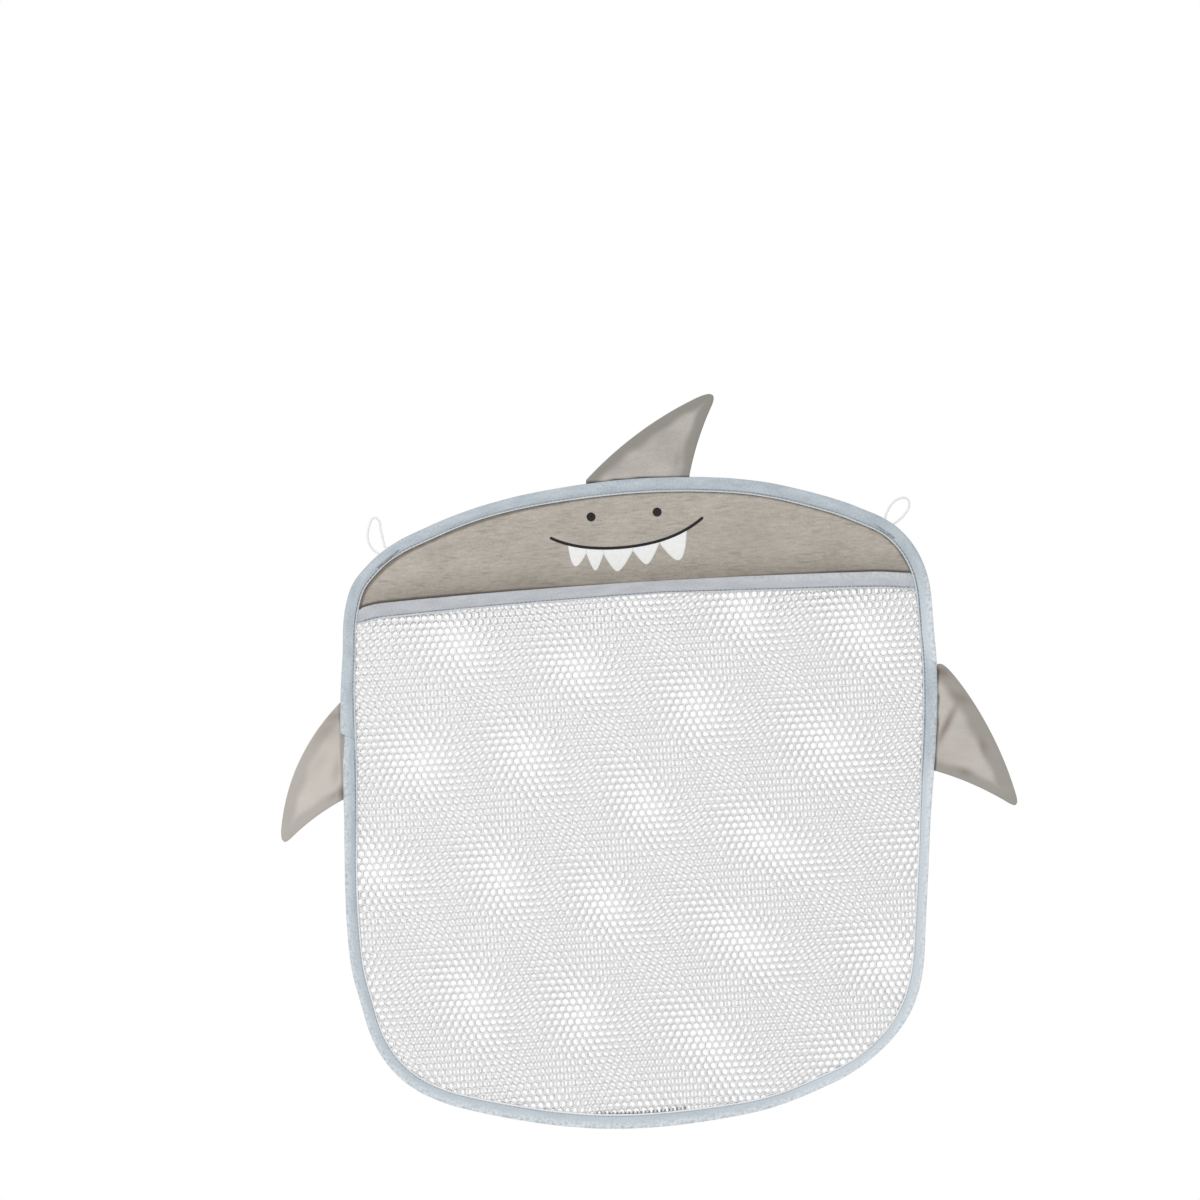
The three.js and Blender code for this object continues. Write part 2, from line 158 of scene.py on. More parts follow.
# %% [markdown]
# The real edge is soft and does not run quite true: it is drawn in below both shoulders and above the left hem, and
# pushed out where the right fin hangs. A few smooth bumps on the outline do the same. Each one has its place, how far
# it spreads and how far it shifts the edge outwards, in millimetres.

# %% Where the soft edge strays
strays = [
    (84, 15, 42, 1.6), (-40, 21, 50, -0.9), (-156, -8, 34, -1.3), (-192, -38, 11, 1.0),
    (-203, -76, 24, -2.7), (-208, -243, 38, 1.0), (-203, -320, 26.5, -4.0), (-176, -374, 24, 1.2),
    (-105, -403, 54, -1.15), (72, -402, 36, 1.8), (166, -345, 30, 1.8), (184, -245, 78, 0.85),
    (195, -152, 45, 2.6), (196, -76, 24, -3.2), (179, -22, 23, 1.2), (155, -5, 12, -0.9),
]


def nearness(x, z, place_x, place_z, spread):
    """1 at a place given in millimetres, and less the farther points lie from it."""
    return np.exp(-((x / MM - place_x) ** 2 + (z / MM - place_z) ** 2) / spread**2)


true_x, true_z, true_facing = stops.T.copy()
outwards = np.stack([np.cos(true_facing), np.sin(true_facing)], 1)
for *place, shift in strays:
    stops[:, :2] += shift * MM * nearness(true_x, true_z, *place)[:, None] * outwards
run = run_along(stops)
edge_length = run[-1]


# %% Lines alongside the edge
def edge(along, inset=0.0):
    """Points of the edge at distances along it, moved inwards, and the direction in which it faces there."""
    x, z, facing = (np.interp(np.mod(along, edge_length), run, column) for column in stops.T)
    return x - inset * np.cos(facing), z - inset * np.sin(facing), facing


edge_x, edge_z, edge_facing = edge(np.linspace(0, edge_length, 480, endpoint=False))


def depth_inside(x, z, part=slice(None)):
    """How far points lie inside the outline, or inside a part of it."""
    nearest = np.argmin((edge_x[part] - x[..., None]) ** 2 + (edge_z[part] - z[..., None]) ** 2, -1)
    facing = edge_facing[part][nearest]
    return (edge_x[part][nearest] - x) * np.cos(facing) + (edge_z[part][nearest] - z) * np.sin(facing)


def edge_at(side, height, inset):
    """Where a line alongside the edge lies at a height, at the right or the left of the bag."""
    x, z, _ = edge(np.linspace(0, edge_length, 4000), inset)
    own = side * x > 0.1
    order = np.argsort(z[own])
    return np.interp(height, z[own][order], x[own][order])


def on_side(side, height):
    """The point of a straight side at a height, and the direction in which it faces."""
    facing = facings[side]
    x, z, radius = shoulders[side]
    slide = (height - z - radius * math.sin(facing)) / math.cos(facing)
    return x + radius * math.cos(facing) - slide * math.sin(facing), height, facing


print("edge:", round(edge_length, 3), "m")

# %% [markdown]
# ## Pocket
# The front net is sewn in at the sides and the hem and is open at the top, so it swells forwards, most at the mouth.
# A cloth simulation could fill it, but the solids already give the swell as a rule, and the same rule keeps net, band
# and stitches on each other.

# %% Mouth line and swell
mouth_middle = crown_rise - 70.2 * MM
mouth_centre = side_lean * mouth_middle
mouth_bow = 4.4 * MM
mouth_tilt = 0.01
mouth_droops = [(-191 * MM, 1, 9 * MM, 2 * MM), (183 * MM, -1, 14 * MM, 1.4 * MM)]
band_height = 12.5 * MM
pocket_depth = 24 * MM
sewn_edge = 10.3 * MM
leaves_fold = (9 * MM, 15 * MM)
pocket_net_y = -3.1 * MM
slot_y = -2.1 * MM
half_width = shoulder_width / 2
below_mouth = edge_z < mouth_middle + band_height


def mouth_line(x):
    """The height of the pocket's top: a low bow that droops at its ends, where the binding takes it in."""
    aside = x - mouth_centre
    height = mouth_middle + mouth_tilt * aside - mouth_bow * (aside / half_width) ** 2
    for end, inwards, spread, drop in mouth_droops:
        height = height - drop * np.exp(-((np.maximum(inwards * (x - end), 0) / spread) ** 2))
    return height


def smooth_step(low, high, value):
    t = np.clip((value - low) / (high - low), 0, 1)
    return t * t * (3 - 2 * t)


def pocket_y(x, z):
    """Where the front net lies, at points across the bag. At the edge it runs into the fold of the binding."""
    depth = depth_inside(x, z, below_mouth)
    across = np.clip((depth - sewn_edge) / (half_width - sewn_edge), 0, 1)
    upwards = np.clip((z - hem_bottom) / (mouth_middle - hem_bottom), 0, 1)
    swell = pocket_depth * (1 - (1 - across) ** 2) * (1 - (1 - upwards) ** 2)
    return slot_y + (pocket_net_y - slot_y) * smooth_step(*leaves_fold, depth) - swell


# %% [markdown]
# ## Helpers
# A finish and a growing rule are both trees of nodes, so one small helper adds a node, sets its options and wires its
# inputs. A second one runs a geometry tree and keeps the result as a plain mesh, because the frame needs real faces.


# %% Nodes
class Nodes:
    """A tree of nodes. An input is a constant, an output of a node, or a node that stands for its first output."""

    def __init__(self, tree):
        self.tree = tree

    def wire(self, made, inputs):
        for name, value in dict(inputs).items():
            if isinstance(value, bpy.types.Node):
                value = value.outputs[0]
            if isinstance(value, bpy.types.NodeSocket):
                self.tree.links.new(value, made.inputs[name])
            else:
                made.inputs[name].default_value = value
        return made

    def add(self, kind, inputs=(), **options):
        made = self.tree.nodes.new(kind)
        for name, value in options.items():
            setattr(made, name, value)
        return self.wire(made, inputs)

    def maths(self, operation, *values):
        return self.add("ShaderNodeMath", enumerate(values), operation=operation)

    def times(self, product, *factors):
        for factor in factors:
            product = self.maths("MULTIPLY", product, factor)
        return product

    def minus(self, value, less):
        return self.maths("SUBTRACT", value, less)

    def vectors(self, operation, *values):
        return self.add("ShaderNodeVectorMath", enumerate(values), operation=operation)

    def scaled(self, vector, factor):
        return self.add("ShaderNodeVectorMath", {0: vector, "Scale": factor}, operation="SCALE")

    def axes(self, vector):
        return self.add("ShaderNodeSeparateXYZ", {0: vector}).outputs

    def point(self, **axes):
        return self.add("ShaderNodeCombineXYZ", axes)

    def ramp(self, value, low, high):
        """Spreads a stretch of values over 0 to 1."""
        return self.add("ShaderNodeMapRange", {"Value": value, "From Min": low, "From Max": high})


# %% Geometry trees
class Growth(Nodes):
    """A geometry tree whose inputs are the sizes of what it makes, named by kind."""

    def __init__(self, name, **sizes):
        super().__init__(bpy.data.node_groups.new(name, "GeometryNodeTree"))
        sockets = self.tree.interface
        for kind, labels in {**sizes, "Material": "Material"}.items():
            for label in labels.split(", "):
                sockets.new_socket(label, in_out="INPUT", socket_type="NodeSocket" + kind)
        sockets.new_socket("Geometry", in_out="OUTPUT", socket_type="NodeSocketGeometry")
        self.size = self.tree.nodes.new("NodeGroupInput").outputs
        self.place = self.geo("InputPosition")

    def geo(self, kind, inputs=(), **options):
        return self.add("GeometryNode" + kind, inputs, **options)

    def shape_of(self, label):
        return self.geo("ObjectInfo", {"Object": self.size[label]}).outputs["Geometry"]

    def moved(self, geometry, **how):
        return self.geo("SetPosition", {"Geometry": geometry, **how})

    def store(self, geometry, name, value):
        kept = {"Geometry": geometry, "Name": name, "Value": value}
        return self.geo("StoreNamedAttribute", kept, data_type="FLOAT", domain="POINT")

    def stored(self, name):
        return self.geo("InputNamedAttribute", {"Name": name})

    def end(self, geometry):
        smooth = self.geo("SetShadeSmooth", {"Geometry": geometry})
        real = self.geo("RealizeInstances", {"Geometry": smooth})
        finished = self.geo("SetMaterial", {"Geometry": real, "Material": self.size["Material"]})
        self.add("NodeGroupOutput", {"Geometry": finished})

    def grow(self, name, sizes):
        """Runs the tree and keeps what it makes as a plain mesh in its own object."""
        piece = placed(name, bpy.data.meshes.new(name))
        modifier = piece.modifiers.new("tree", "NODES")
        modifier.node_group = self.tree
        for item in self.tree.interface.items_tree:
            if item.name in sizes:
                modifier[item.identifier] = sizes[item.name]
        depsgraph = bpy.context.evaluated_depsgraph_get()
        grown = piece.evaluated_get(depsgraph)
        mesh = bpy.data.meshes.new_from_object(grown, preserve_all_data_layers=True, depsgraph=depsgraph)
        piece.modifiers.remove(modifier)
        piece.data = mesh
        print(name + ":", len(mesh.polygons), "faces")
        return piece


# %% Pieces from points
def piece_of(name, points, faces, material, values=None):
    """A mesh object from points and faces, smooth, with one finish and named values on its points."""
    mesh = bpy.data.meshes.new(name)
    mesh.from_pydata(np.asarray(points).tolist(), [], faces)
    mesh.shade_smooth()
    for label, numbers in (values or {}).items():
        carried = mesh.attributes.new(label, "FLOAT", "POINT")
        carried.data.foreach_set("value", np.asarray(numbers, "f").ravel())
    mesh.materials.append(material)
    return placed(name, mesh)


def new_curve(name, kind):
    curve = bpy.data.curves.new(name, "CURVE")
    curve.dimensions = "3D"
    return curve, curve.splines.new(kind)


def line_of(name, points, closed=False, scale=None):
    """A curve object through points, for a tree to follow, with a scale for what is swept along it."""
    curve, spline = new_curve(name, "POLY")
    spline.points.add(len(points) - 1)
    spline.points.foreach_set("co", np.column_stack([points, np.ones(len(points))]).ravel())
    spline.points.foreach_set("radius", np.ones(len(points)) if scale is None else scale)
    spline.use_cyclic_u = closed
    return placed(name, curve)


def numbered(grid):
    """The number of each point of a grid, row by row."""
    return np.arange(grid.size).reshape(grid.shape)


def grid_faces(number):
    """Faces between the numbered points of a grid."""
    corners = [number[:-1, :-1], number[:-1, 1:], number[1:, 1:], number[1:, :-1]]
    return np.stack(corners, -1).reshape(-1, 4).tolist()


# %% Pieces on the frame
def dress(piece, slot, *nodes):
    """Puts a finished piece on the bag, in place of the solids that it stands for. The slot is not used."""
    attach(piece, "bag")
    if nodes:
        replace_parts(piece, *nodes)


def half_area(piece):
    """The cloth area of a closed thin piece: half of its surface."""
    return sum(face.area for face in piece.data.polygons) / 2


# %% [markdown]
# ## Finishes
# The cloths are matt weaves. A weave is finer than a picture point here, so what shows is the unevenness of the yarn:
# long thin slubs in the head, soft patches in the tape. Each finish stretches noise along the yarn for the colour and
# for a small bump. Several finishes also carry painted light and shade: shadows, crease shade and highlights laid
# into the colour. The numbers are screen colours of the real cloth and of that painted shade, turned into the
# shader's own.


# %% Colours and shared finish parts
def screen(red, green, blue):
    """A colour given as it looks on a screen, from 0 to 255."""
    return (*(((c / 255 + 0.055) / 1.055) ** 2.4 if c > 10 else c / 3294.6 for c in (red, green, blue)), 1.0)


class Finish(Nodes):
    """A material and the tree behind it."""

    def __init__(self, name, roughness, sheen=0.0):
        self.material = bpy.data.materials.new(name)
        self.material.use_nodes = True
        super().__init__(self.material.node_tree)
        self.shader = self.tree.nodes["Principled BSDF"]
        self.wire(self.shader, {"Roughness": roughness, "Sheen Weight": sheen, "Specular IOR Level": 0.3})
        self.place = self.add("ShaderNodeTexCoord").outputs["Object"]

    def noise(self, vector, stretch, detail=2.0):
        """Noise whose grain is this many to the metre in each direction."""
        spread = self.add("ShaderNodeMapping", {"Vector": vector, "Scale": stretch})
        return self.add("ShaderNodeTexNoise", {"Vector": spread, "Scale": 1.0, "Detail": detail})

    def mixed(self, factor, *colours):
        """A mix of two colours, which are outputs of nodes or screen colours."""
        first, second = (screen(*colour) if isinstance(colour, tuple) else colour for colour in colours)
        return self.add("ShaderNodeMix", {0: factor, 6: first, 7: second}, data_type="RGBA").outputs[2]

    def painted(self, name):
        """A named value that the mesh carries on its points."""
        return self.add("ShaderNodeAttribute", attribute_name=name).outputs["Fac"]

    def done(self, colour, height=None, depth=0.0):
        """Gives the shader its colour, and a bump of this depth in metres, and returns the material."""
        self.wire(self.shader, {"Base Color": colour})
        if depth:
            bump = self.add("ShaderNodeBump", {"Height": height, "Distance": depth, "Strength": 1.0})
            self.wire(self.shader, {"Normal": bump})
        return self.material


# %% Cloth finishes
tone_reach = (0.36, 0.64)


def slub_cloth(name, dark, light, slub, slubs, shares, shades):
    """Plain weave with thin slubs, and colours laid over it where a value on the mesh runs from a start to an end:
    painted shade and shadow, and tones of the cloth.
    """
    cloth = Finish(name, 0.88, 0.05)
    threads = cloth.noise(cloth.place, (170, 170, 720), 1.0)
    grain = cloth.noise(cloth.place, (900, 900, 900), 1.0)
    patches = cloth.noise(cloth.place, (34, 34, 90))
    flecks = cloth.noise(cloth.place, (90, 90, 700))
    tone = 0.0
    for part, share in zip((threads, grain, patches), shares):
        tone = cloth.maths("MULTIPLY_ADD", part, share, tone)
    colour = cloth.mixed(cloth.ramp(tone, *tone_reach), dark, light)
    colour = cloth.mixed(cloth.times(cloth.ramp(flecks, 0.42, 0.27), slubs), colour, slub)
    for value, start, end, strength, shade in shades:
        amount = cloth.times(cloth.ramp(cloth.painted(value), start, end), strength)
        colour = cloth.mixed(amount, colour, shade)
    return cloth.done(colour, tone, 0.3 * MM)


# Painted shadow above the pocket band, soft and wide and then strong at the band's edge, and a painted shadow line
# along the binding's inner edge, where the cloth goes under the tape.
head_shades = [
    ("from_mouth", 18 * MM, 1 * MM, 0.3, (110, 100, 88)),
    ("from_mouth", 2.2 * MM, 0.8 * MM, 0.75, (58, 52, 46)),
    ("depth", 11.6 * MM, 10.2 * MM, 0.65, (84, 78, 72)),
]
# Each fin's overall lightness; the turned-in seam allowance, painted darker because the thicker cloth lets less light
# through; painted shade in the creases; and a painted shadow at the root, where the fin goes under the binding.
fin_shades = [
    ("bright", 0.0, 1.0, 0.75, (208, 201, 194)),
    ("allowance", 0.0, 1.0, 1.0, (141, 137, 131)),
    ("crease", 0.0, 1.0, 0.8, (120, 108, 98)),
    ("root", 0.0, 1.0, 1.0, (40, 38, 36)),
]
head_cloth = slub_cloth(
    "head_cloth", (165, 158, 148), (189, 182, 172), (134, 125, 113), 0.4, (0.36, 0.34, 0.3), head_shades
)
fin_cloth = slub_cloth(
    "fin_cloth", (169, 163, 157), (189, 184, 178), (158, 151, 144), 0.15, (0.08, 0.32, 0.6), fin_shades
)

# %% Tape finishes
stitch_inset = 8.6 * MM
band_stitch = 10.5 * MM
paler_below = (-0.16, -0.23)
right_fin_level = -0.146


def tape_finish(name, dark, light, lip, stitch_line):
    """Woven tape: fine ribs, soft patches and a paler lip. Painted light makes it paler low down and at the right,
    with a painted highlight in specks on the outer fold, and painted shade darkens the stitch groove.
    """
    tape = Finish(name, 0.8, 0.1)
    x, _, z = tape.axes(tape.place)
    inset = tape.painted("inset")
    lie = tape.point(X=tape.painted("along"), Y=inset)
    patches = tape.noise(lie, (60, 180, 1))
    ribs = tape.noise(lie, (1300, 500, 1), 1.0)
    tone = tape.maths("MULTIPLY_ADD", patches, 0.5, tape.times(ribs, 0.5))
    colour = tape.mixed(tape.ramp(tone, *tone_reach), dark, light)
    # Painted light: the tape is made paler low down and on the right side, away from the right fin.
    from_fin = tape.maths("ABSOLUTE", tape.minus(z, right_fin_level))
    at_right = tape.times(tape.ramp(x, 0.035, 0.1), tape.ramp(z, -0.04, -0.09), tape.ramp(from_fin, 0.028, 0.046))
    pale = tape.maths("MAXIMUM", tape.times(tape.ramp(z, -0.2, -0.41), 0.5), at_right)
    colour = tape.mixed(tape.times(pale, 0.9), colour, (205, 214, 221))
    # Painted highlight on the outer fold, low down and at the right, broken into specks by the weave.
    specks = tape.ramp(tape.noise(lie, (420, 420, 1), 1.0), 0.35, 0.6)
    fold_highlight = tape.maths("MAXIMUM", pale, tape.times(tape.ramp(z, -0.05, -0.16), 0.3))
    outer = tape.times(tape.ramp(inset, 6.5 * MM, 1.5 * MM), tape.maths("MINIMUM", fold_highlight, 0.5))
    colour = tape.mixed(tape.times(specks, outer, 1.6), colour, (236, 241, 244))
    # Low down the lip takes the painted light too and turns almost white.
    low = tape.ramp(z, *paler_below)
    colour = tape.mixed(tape.painted("lip"), colour, tape.mixed(low, lip, (238, 240, 242)))
    # Painted shade along the stitch groove, weaker low down where the tape is painted lighter.
    on_line = tape.ramp(tape.maths("ABSOLUTE", tape.minus(inset, stitch_line)), 0.75 * MM, 0.1 * MM)
    groove_shade = tape.times(on_line, tape.ramp(patches, 0.3, 0.7), tape.maths("MULTIPLY_ADD", low, -0.75, 1.0))
    return tape.done(tape.mixed(groove_shade, colour, (128, 135, 145)), ribs, 0.2 * MM)


binding_tape = tape_finish("binding_tape", (169, 179, 186), (193, 203, 209), (207, 212, 215), stitch_inset)
band_tape = tape_finish("band_tape", (174, 177, 183), (194, 196, 201), (205, 208, 212), band_stitch)


# %% Yarn, thread and print finishes
def speckled(name, dark, light, grain, roughness):
    """A colour that wanders between two tones, for yarn, thread and print."""
    stuff = Finish(name, roughness)
    tone = stuff.noise(stuff.place, (grain, grain, grain))
    return stuff.done(stuff.mixed(stuff.ramp(tone, 0.3, 0.7), dark, light), tone, 0.05 * MM)


dark_thread = speckled("dark_thread", (84, 90, 100), (140, 146, 155), 160, 0.6)
net_yarn = speckled("net_yarn", (232, 232, 233), (246, 246, 246), 420, 0.55)
tack_thread = speckled("tack_thread", (128, 133, 141), (176, 181, 188), 300, 0.6)
print_black = speckled("print_black", (20, 20, 21), (33, 33, 34), 700, 0.7)
print_white = speckled("print_white", (236, 236, 235), (243, 243, 242), 500, 0.75)

# %% Seam thread: paler at the crown and the hem, where it is pulled in less and the paleness is partly painted light; painted lighter still low down at the right, like the tape
seam = Finish("seam_thread", 0.6)
x, _, z = seam.axes(seam.place)
tone = seam.ramp(seam.noise(seam.place, (160, 160, 160)), 0.3, 0.7)
dull = seam.mixed(tone, (100, 106, 117), (160, 166, 175))
pale = seam.mixed(tone, (140, 148, 158), (174, 182, 190))
from_middle = seam.maths("ABSOLUTE", seam.maths("ADD", z, 0.19))
colour = seam.mixed(seam.ramp(from_middle, 0.155, 0.19), dull, pale)
at_right = seam.maths("MULTIPLY_ADD", seam.ramp(x, 0.02, 0.15), 0.4, 0.4)
lit_low = seam.times(seam.ramp(z, *paler_below), at_right)
seam_thread = seam.done(seam.mixed(lit_low, colour, (205, 211, 217)))

# %% Clear cord
cord = Finish("clear_cord", 0.3)
cord.wire(cord.shader, {"Transmission Weight": 0.1, "IOR": 1.4})
cloudy = cord.mixed(cord.noise(cord.place, (300, 300, 300)), (238, 238, 235), (248, 248, 246))
clear_cord = cord.done(cloudy)
print("finishes:", len(bpy.data.materials))

# %% [markdown]
# ## Hanging loops
# Each shoulder has a drop-shaped loop of clear cord, whose ends are caught in the fold of the binding. A curve with
# a round bevel is all a cord needs. Its points are those of the solid, and both ends run on a little into the fold.

# %% Loops
cord_diameter = 1.7 * MM
loop_length = 19.5 * MM
loop_width = 11 * MM
loop_foot = 6.5 * MM
loop_angles = {-1: math.radians(36.8), 1: math.radians(39)}
loop_gap = 0.5 * MM
loop_tuck = 3.0 * MM
bag_middle = -2.15 * MM


def loop_seat(side):
    """The shoulder's circle, the way out of it at the loop, and the way along it."""
    out = Vector((side * math.sin(loop_angles[side]), 0, math.cos(loop_angles[side])))
    x, z, radius = shoulders[side]
    return Vector((x, bag_middle, z)), radius, out, Vector((out.z, 0, -out.x))


def hang_loop(body, side, lean):
    """One loop of cord, from its line to a tube that bends where it leaves the binding."""
    name = body + "_cord"
    centre, radius, out, along = loop_seat(side)
    half = [
        (loop_foot / 2, -loop_tuck - loop_gap),
        (loop_foot / 2, 0),
        (loop_foot / 2 + 0.1 * loop_width, 0.15 * loop_length),
        (loop_width / 2, 0.55 * loop_length),
        (0.35 * loop_width, 0.87 * loop_length),
    ]
    route = [*half, (0, loop_length), *((-x, y) for x, y in reversed(half))]
    curve, spline = new_curve(name, "BEZIER")
    curve.resolution_u = 8
    spline.bezier_points.add(len(route) - 1)
    for knot, (x, y) in zip(spline.bezier_points, route):
        sway = lean * (max(y, 0) / loop_length) ** 2
        knot.co = centre + out * (radius + loop_gap + y) + along * (x + sway)
        knot.handle_left_type = knot.handle_right_type = "AUTO"
    curve.materials.append(clear_cord)
    draft = placed(name + "_line", curve)
    line = [tuple(point.co) for point in bpy.data.meshes.new_from_object(draft).vertices]
    curve.bevel_depth = cord_diameter / 2
    curve.bevel_resolution = 3
    curve.use_fill_caps = True
    loop = placed(name, bpy.data.meshes.new_from_object(draft))
    bpy.data.objects.remove(draft)
    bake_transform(loop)
    return loop


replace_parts(hang_loop("left_loop", -1, 10 * MM), "left_hang_loop")
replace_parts(hang_loop("right_loop", 1, 1 * MM), "right_hang_loop")

# %% [markdown]
# ## Knitted net
# The net is a knit of six-sided gaps in level rows. An array of hexagons would do, but a rule is shorter: points in
# staggered rows are joined to triangles, and the dual of that mesh is a sheet of hexagons. Each one is shrunk inside
# itself and taken out, which leaves strands. The sheet is then dropped along y onto a guide, and cells past the cut
# edge go. The two layers are turned and pulled a little differently, which gives the cloudy pattern of the real bag.

# %% The net's rule
net_pitch = 5.25 * MM
net_columns, net_rows = 94, 104
net_middle = (-0.0118, 0.0, -0.277)
row_step = net_pitch * math.sqrt(3) / 2
net_width, net_height = (net_columns - 1) * net_pitch, (net_rows - 1) * row_step

net = Growth("knitted net", Object="Guide", Float="Turn, Stretch Across, Stretch Down, Slant, Seed")
size = net.size
counts = {"Vertices X": net_columns, "Vertices Y": net_rows}
rows_of_points = net.geo("MeshGrid", {"Size X": net_width, "Size Y": net_height, **counts})
x, y, _ = net.axes(net.place)
row_number = net.maths("ROUND", net.maths("DIVIDE", net.maths("ADD", y, net_height / 2), row_step))
stagger = net.times(net.maths("MODULO", row_number, 2.0), net_pitch / 2)
staggered = net.moved(rows_of_points, Offset=net.point(X=stagger))
triangles = net.geo("Triangulate", {"Mesh": staggered}, quad_method="SHORTEST_DIAGONAL")
hexagons = net.geo("DualMesh", {"Mesh": triangles})

# %% Pull, turn and stand the net up
pull_reach = 2 * MM
pull_grain = 9.0

grain = {"Vector": net.place, "W": size["Seed"], "Scale": pull_grain, "Detail": 0.0}
unevenness = net.add("ShaderNodeTexNoise", grain, noise_dimensions="4D").outputs["Color"]
pull = net.scaled(net.vectors("SUBTRACT", unevenness, (0.5, 0.5, 0.5)), pull_reach)
wider = net.maths("MULTIPLY_ADD", x, size["Stretch Across"], net.times(y, size["Slant"]))
drawn = net.point(X=wider, Y=net.times(y, size["Stretch Down"]))
pulled = net.vectors("ADD", net.vectors("ADD", net.place, pull), drawn)
turned = net.add("ShaderNodeVectorRotate", {"Vector": pulled, "Angle": size["Turn"]}, rotation_type="Z_AXIS")
x, y, _ = net.axes(turned)
hung = net.moved(hexagons, Position=net.vectors("ADD", net.point(X=x, Z=y), net_middle))

# %% Drop it onto its guide and cut it out
gap_share = 0.76

drop = {
    "Target Geometry": net.shape_of("Guide"),
    "Attribute": net.stored("room"),
    "Source Position": net.vectors("ADD", net.place, (0.0, 0.1, 0.0)),
    "Ray Direction": (0.0, -1.0, 0.0),
    "Ray Length": 1.0,
}
onto_guide = net.geo("Raycast", drop).outputs
off_cut = net.maths("LESS_THAN", onto_guide["Attribute"], 0.001 * MM)
cut_out = net.geo("DeleteGeometry", {"Geometry": hung, "Selection": off_cut}, domain="FACE")
raised = net.geo("ExtrudeMesh", {"Mesh": cut_out, "Offset Scale": 0.0}, mode="FACES")
gaps = {"Selection": raised.outputs["Top"]}
marked = net.store(raised, "gap_edge", raised.outputs["Top"])
shrunk = net.geo("ScaleElements", {"Geometry": marked, "Scale": gap_share, **gaps}, domain="FACE")
strands = net.geo("DeleteGeometry", {"Geometry": shrunk, **gaps}, domain="FACE")
laid = net.moved(strands, Position=onto_guide["Hit Position"])

# %% Give the strands two sides
yarn_half = 0.22 * MM

ridge = net.times(net.minus(1.0, net.stored("gap_edge")), yarn_half)
front_half = net.moved(laid, Offset=net.point(Y=net.times(ridge, -1.0)))
back_half = net.moved(laid, Offset=net.point(Y=ridge))
both = net.geo("JoinGeometry", {0: front_half})
net.wire(both, {0: net.geo("FlipFaces", {"Mesh": back_half})})
net.end(net.geo("MergeByDistance", {"Geometry": both, "Distance": 0.01 * MM}))

# %% Guides for the two layers
cut_inset = 5 * MM
lining_drop = 6 * MM
fold_width = 4 * MM
back_y, back_fold_y, back_step, back_sway = -1.3 * MM, -1.9 * MM, 0.7 * MM, 0.35 * MM
slack_folds = [((28, -158), (189, -176), 2.0), ((128, -304), (180, -308), 1.4)]


def net_guide(name, top, surface):
    """A surface over the whole bag that knows how far inside the net's cut edge each point is."""
    x, z = np.meshgrid(np.linspace(-0.22, 0.21, 190), np.linspace(-0.43, -0.03, 180))
    points = np.stack([x, surface(x, z), z], -1).reshape(-1, 3)
    room = np.minimum(depth_inside(x, z) - cut_inset, top(x) - z)
    return piece_of(name, points, grid_faces(numbered(x)), net_yarn, {"room": room})


def back_net_y(x, z):
    """The back net hangs almost flat and steps in front of the lining's hem at its top."""
    step = np.clip((z - mouth_line(x) + lining_drop + 14 * MM) / (12 * MM), 0, 1)
    sway = back_sway * np.sin(x * 31 + 1.3) * np.sin(z * 23)
    held = 1 - smooth_step(7 * MM, 15 * MM, depth_inside(x, z))
    return (back_y + sway - back_step * step) * (1 - held) + back_fold_y * held


def front_net_y(x, z):
    """The front net, with two slack folds. Inside the band it hangs at the band's own depth."""
    in_band = 1 - smooth_step(band_height, band_height + 6 * MM, mouth_line(x) - z)
    y = pocket_y(x, z) * (1 - in_band) + pocket_y(x, mouth_line(x)) * in_band
    for start, end, sink in slack_folds:
        start, span = np.array(start) * MM, (np.array(end) - np.array(start)) * MM
        share = np.clip(((x - start[0]) * span[0] + (z - start[1]) * span[1]) / (span @ span), 0, 1)
        aside = np.hypot(x - start[0] - share * span[0], z - start[1] - share * span[1])
        fading = smooth_step(0, 0.4, share) * (1 - smooth_step(0.85, 1, share))
        y += sink * MM * np.exp(-((aside / fold_width) ** 2)) * fading
    return y


pocket_guide = net_guide("pocket_guide", lambda x: mouth_line(x) - 3.5 * MM, front_net_y)
back_guide = net_guide("back_guide", lambda x: mouth_line(x) - lining_drop + 3 * MM, back_net_y)

# %% Both nets
hangs = ("Turn", "Stretch Across", "Stretch Down", "Slant", "Seed")
pocket_hang = (math.radians(-1.38), -0.018, 0.0205, 0.0026, 2.7)
back_hang = (math.radians(1.38), -0.058, 0.0015, -0.0026, 8.1)
for name, solid, cut, guide, hang in (
    ("pocket_net", "front_net", (0.406, 0.366), pocket_guide, pocket_hang),
    ("back_panel_net", "back_net", (0.406, 0.361), back_guide, back_hang),
):
    layer = net.grow(name, {**dict(zip(hangs, hang)), "Guide": guide, "Material": net_yarn})
    bpy.data.objects.remove(guide)
    dress(layer, "net", solid)

# %% [markdown]
# ## Folded tape
# One tape is folded round the whole edge and sewn through, and a second one round the top of the pocket. Sweeping the
# folded section along a line gives either of them. A geometry tree does it, because it can also pucker the tape at
# every stitch and let its thickness waver, both measured along the tape itself.

# %% The tape's rule
tape = Growth("folded tape", Object="Rail, Section", Float="Stitch Inset")
size = tape.size
facing_rail = tape.geo("SetCurveNormal", {"Curve": tape.shape_of("Rail"), "Normal": (0, 1, 0)}, mode="FREE")
measured = tape.store(facing_rail, "along", tape.geo("SplineParameter").outputs["Length"])
ruled = tape.store(tape.shape_of("Section"), "inset", tape.axes(tape.place)["Y"])
lines = {"Curve": measured, "Profile Curve": ruled, "Scale": tape.geo("InputRadius")}
swept = tape.geo("CurveToMesh", {**lines, "Fill Caps": True})

# %% Puckers and waver
stitch_pitch = 2.9 * MM
pucker_width = 1.6 * MM
pucker_height = 0.13 * MM
lip_width = 0.6 * MM
waver_grain = 70.0
waver_height = 0.4 * MM

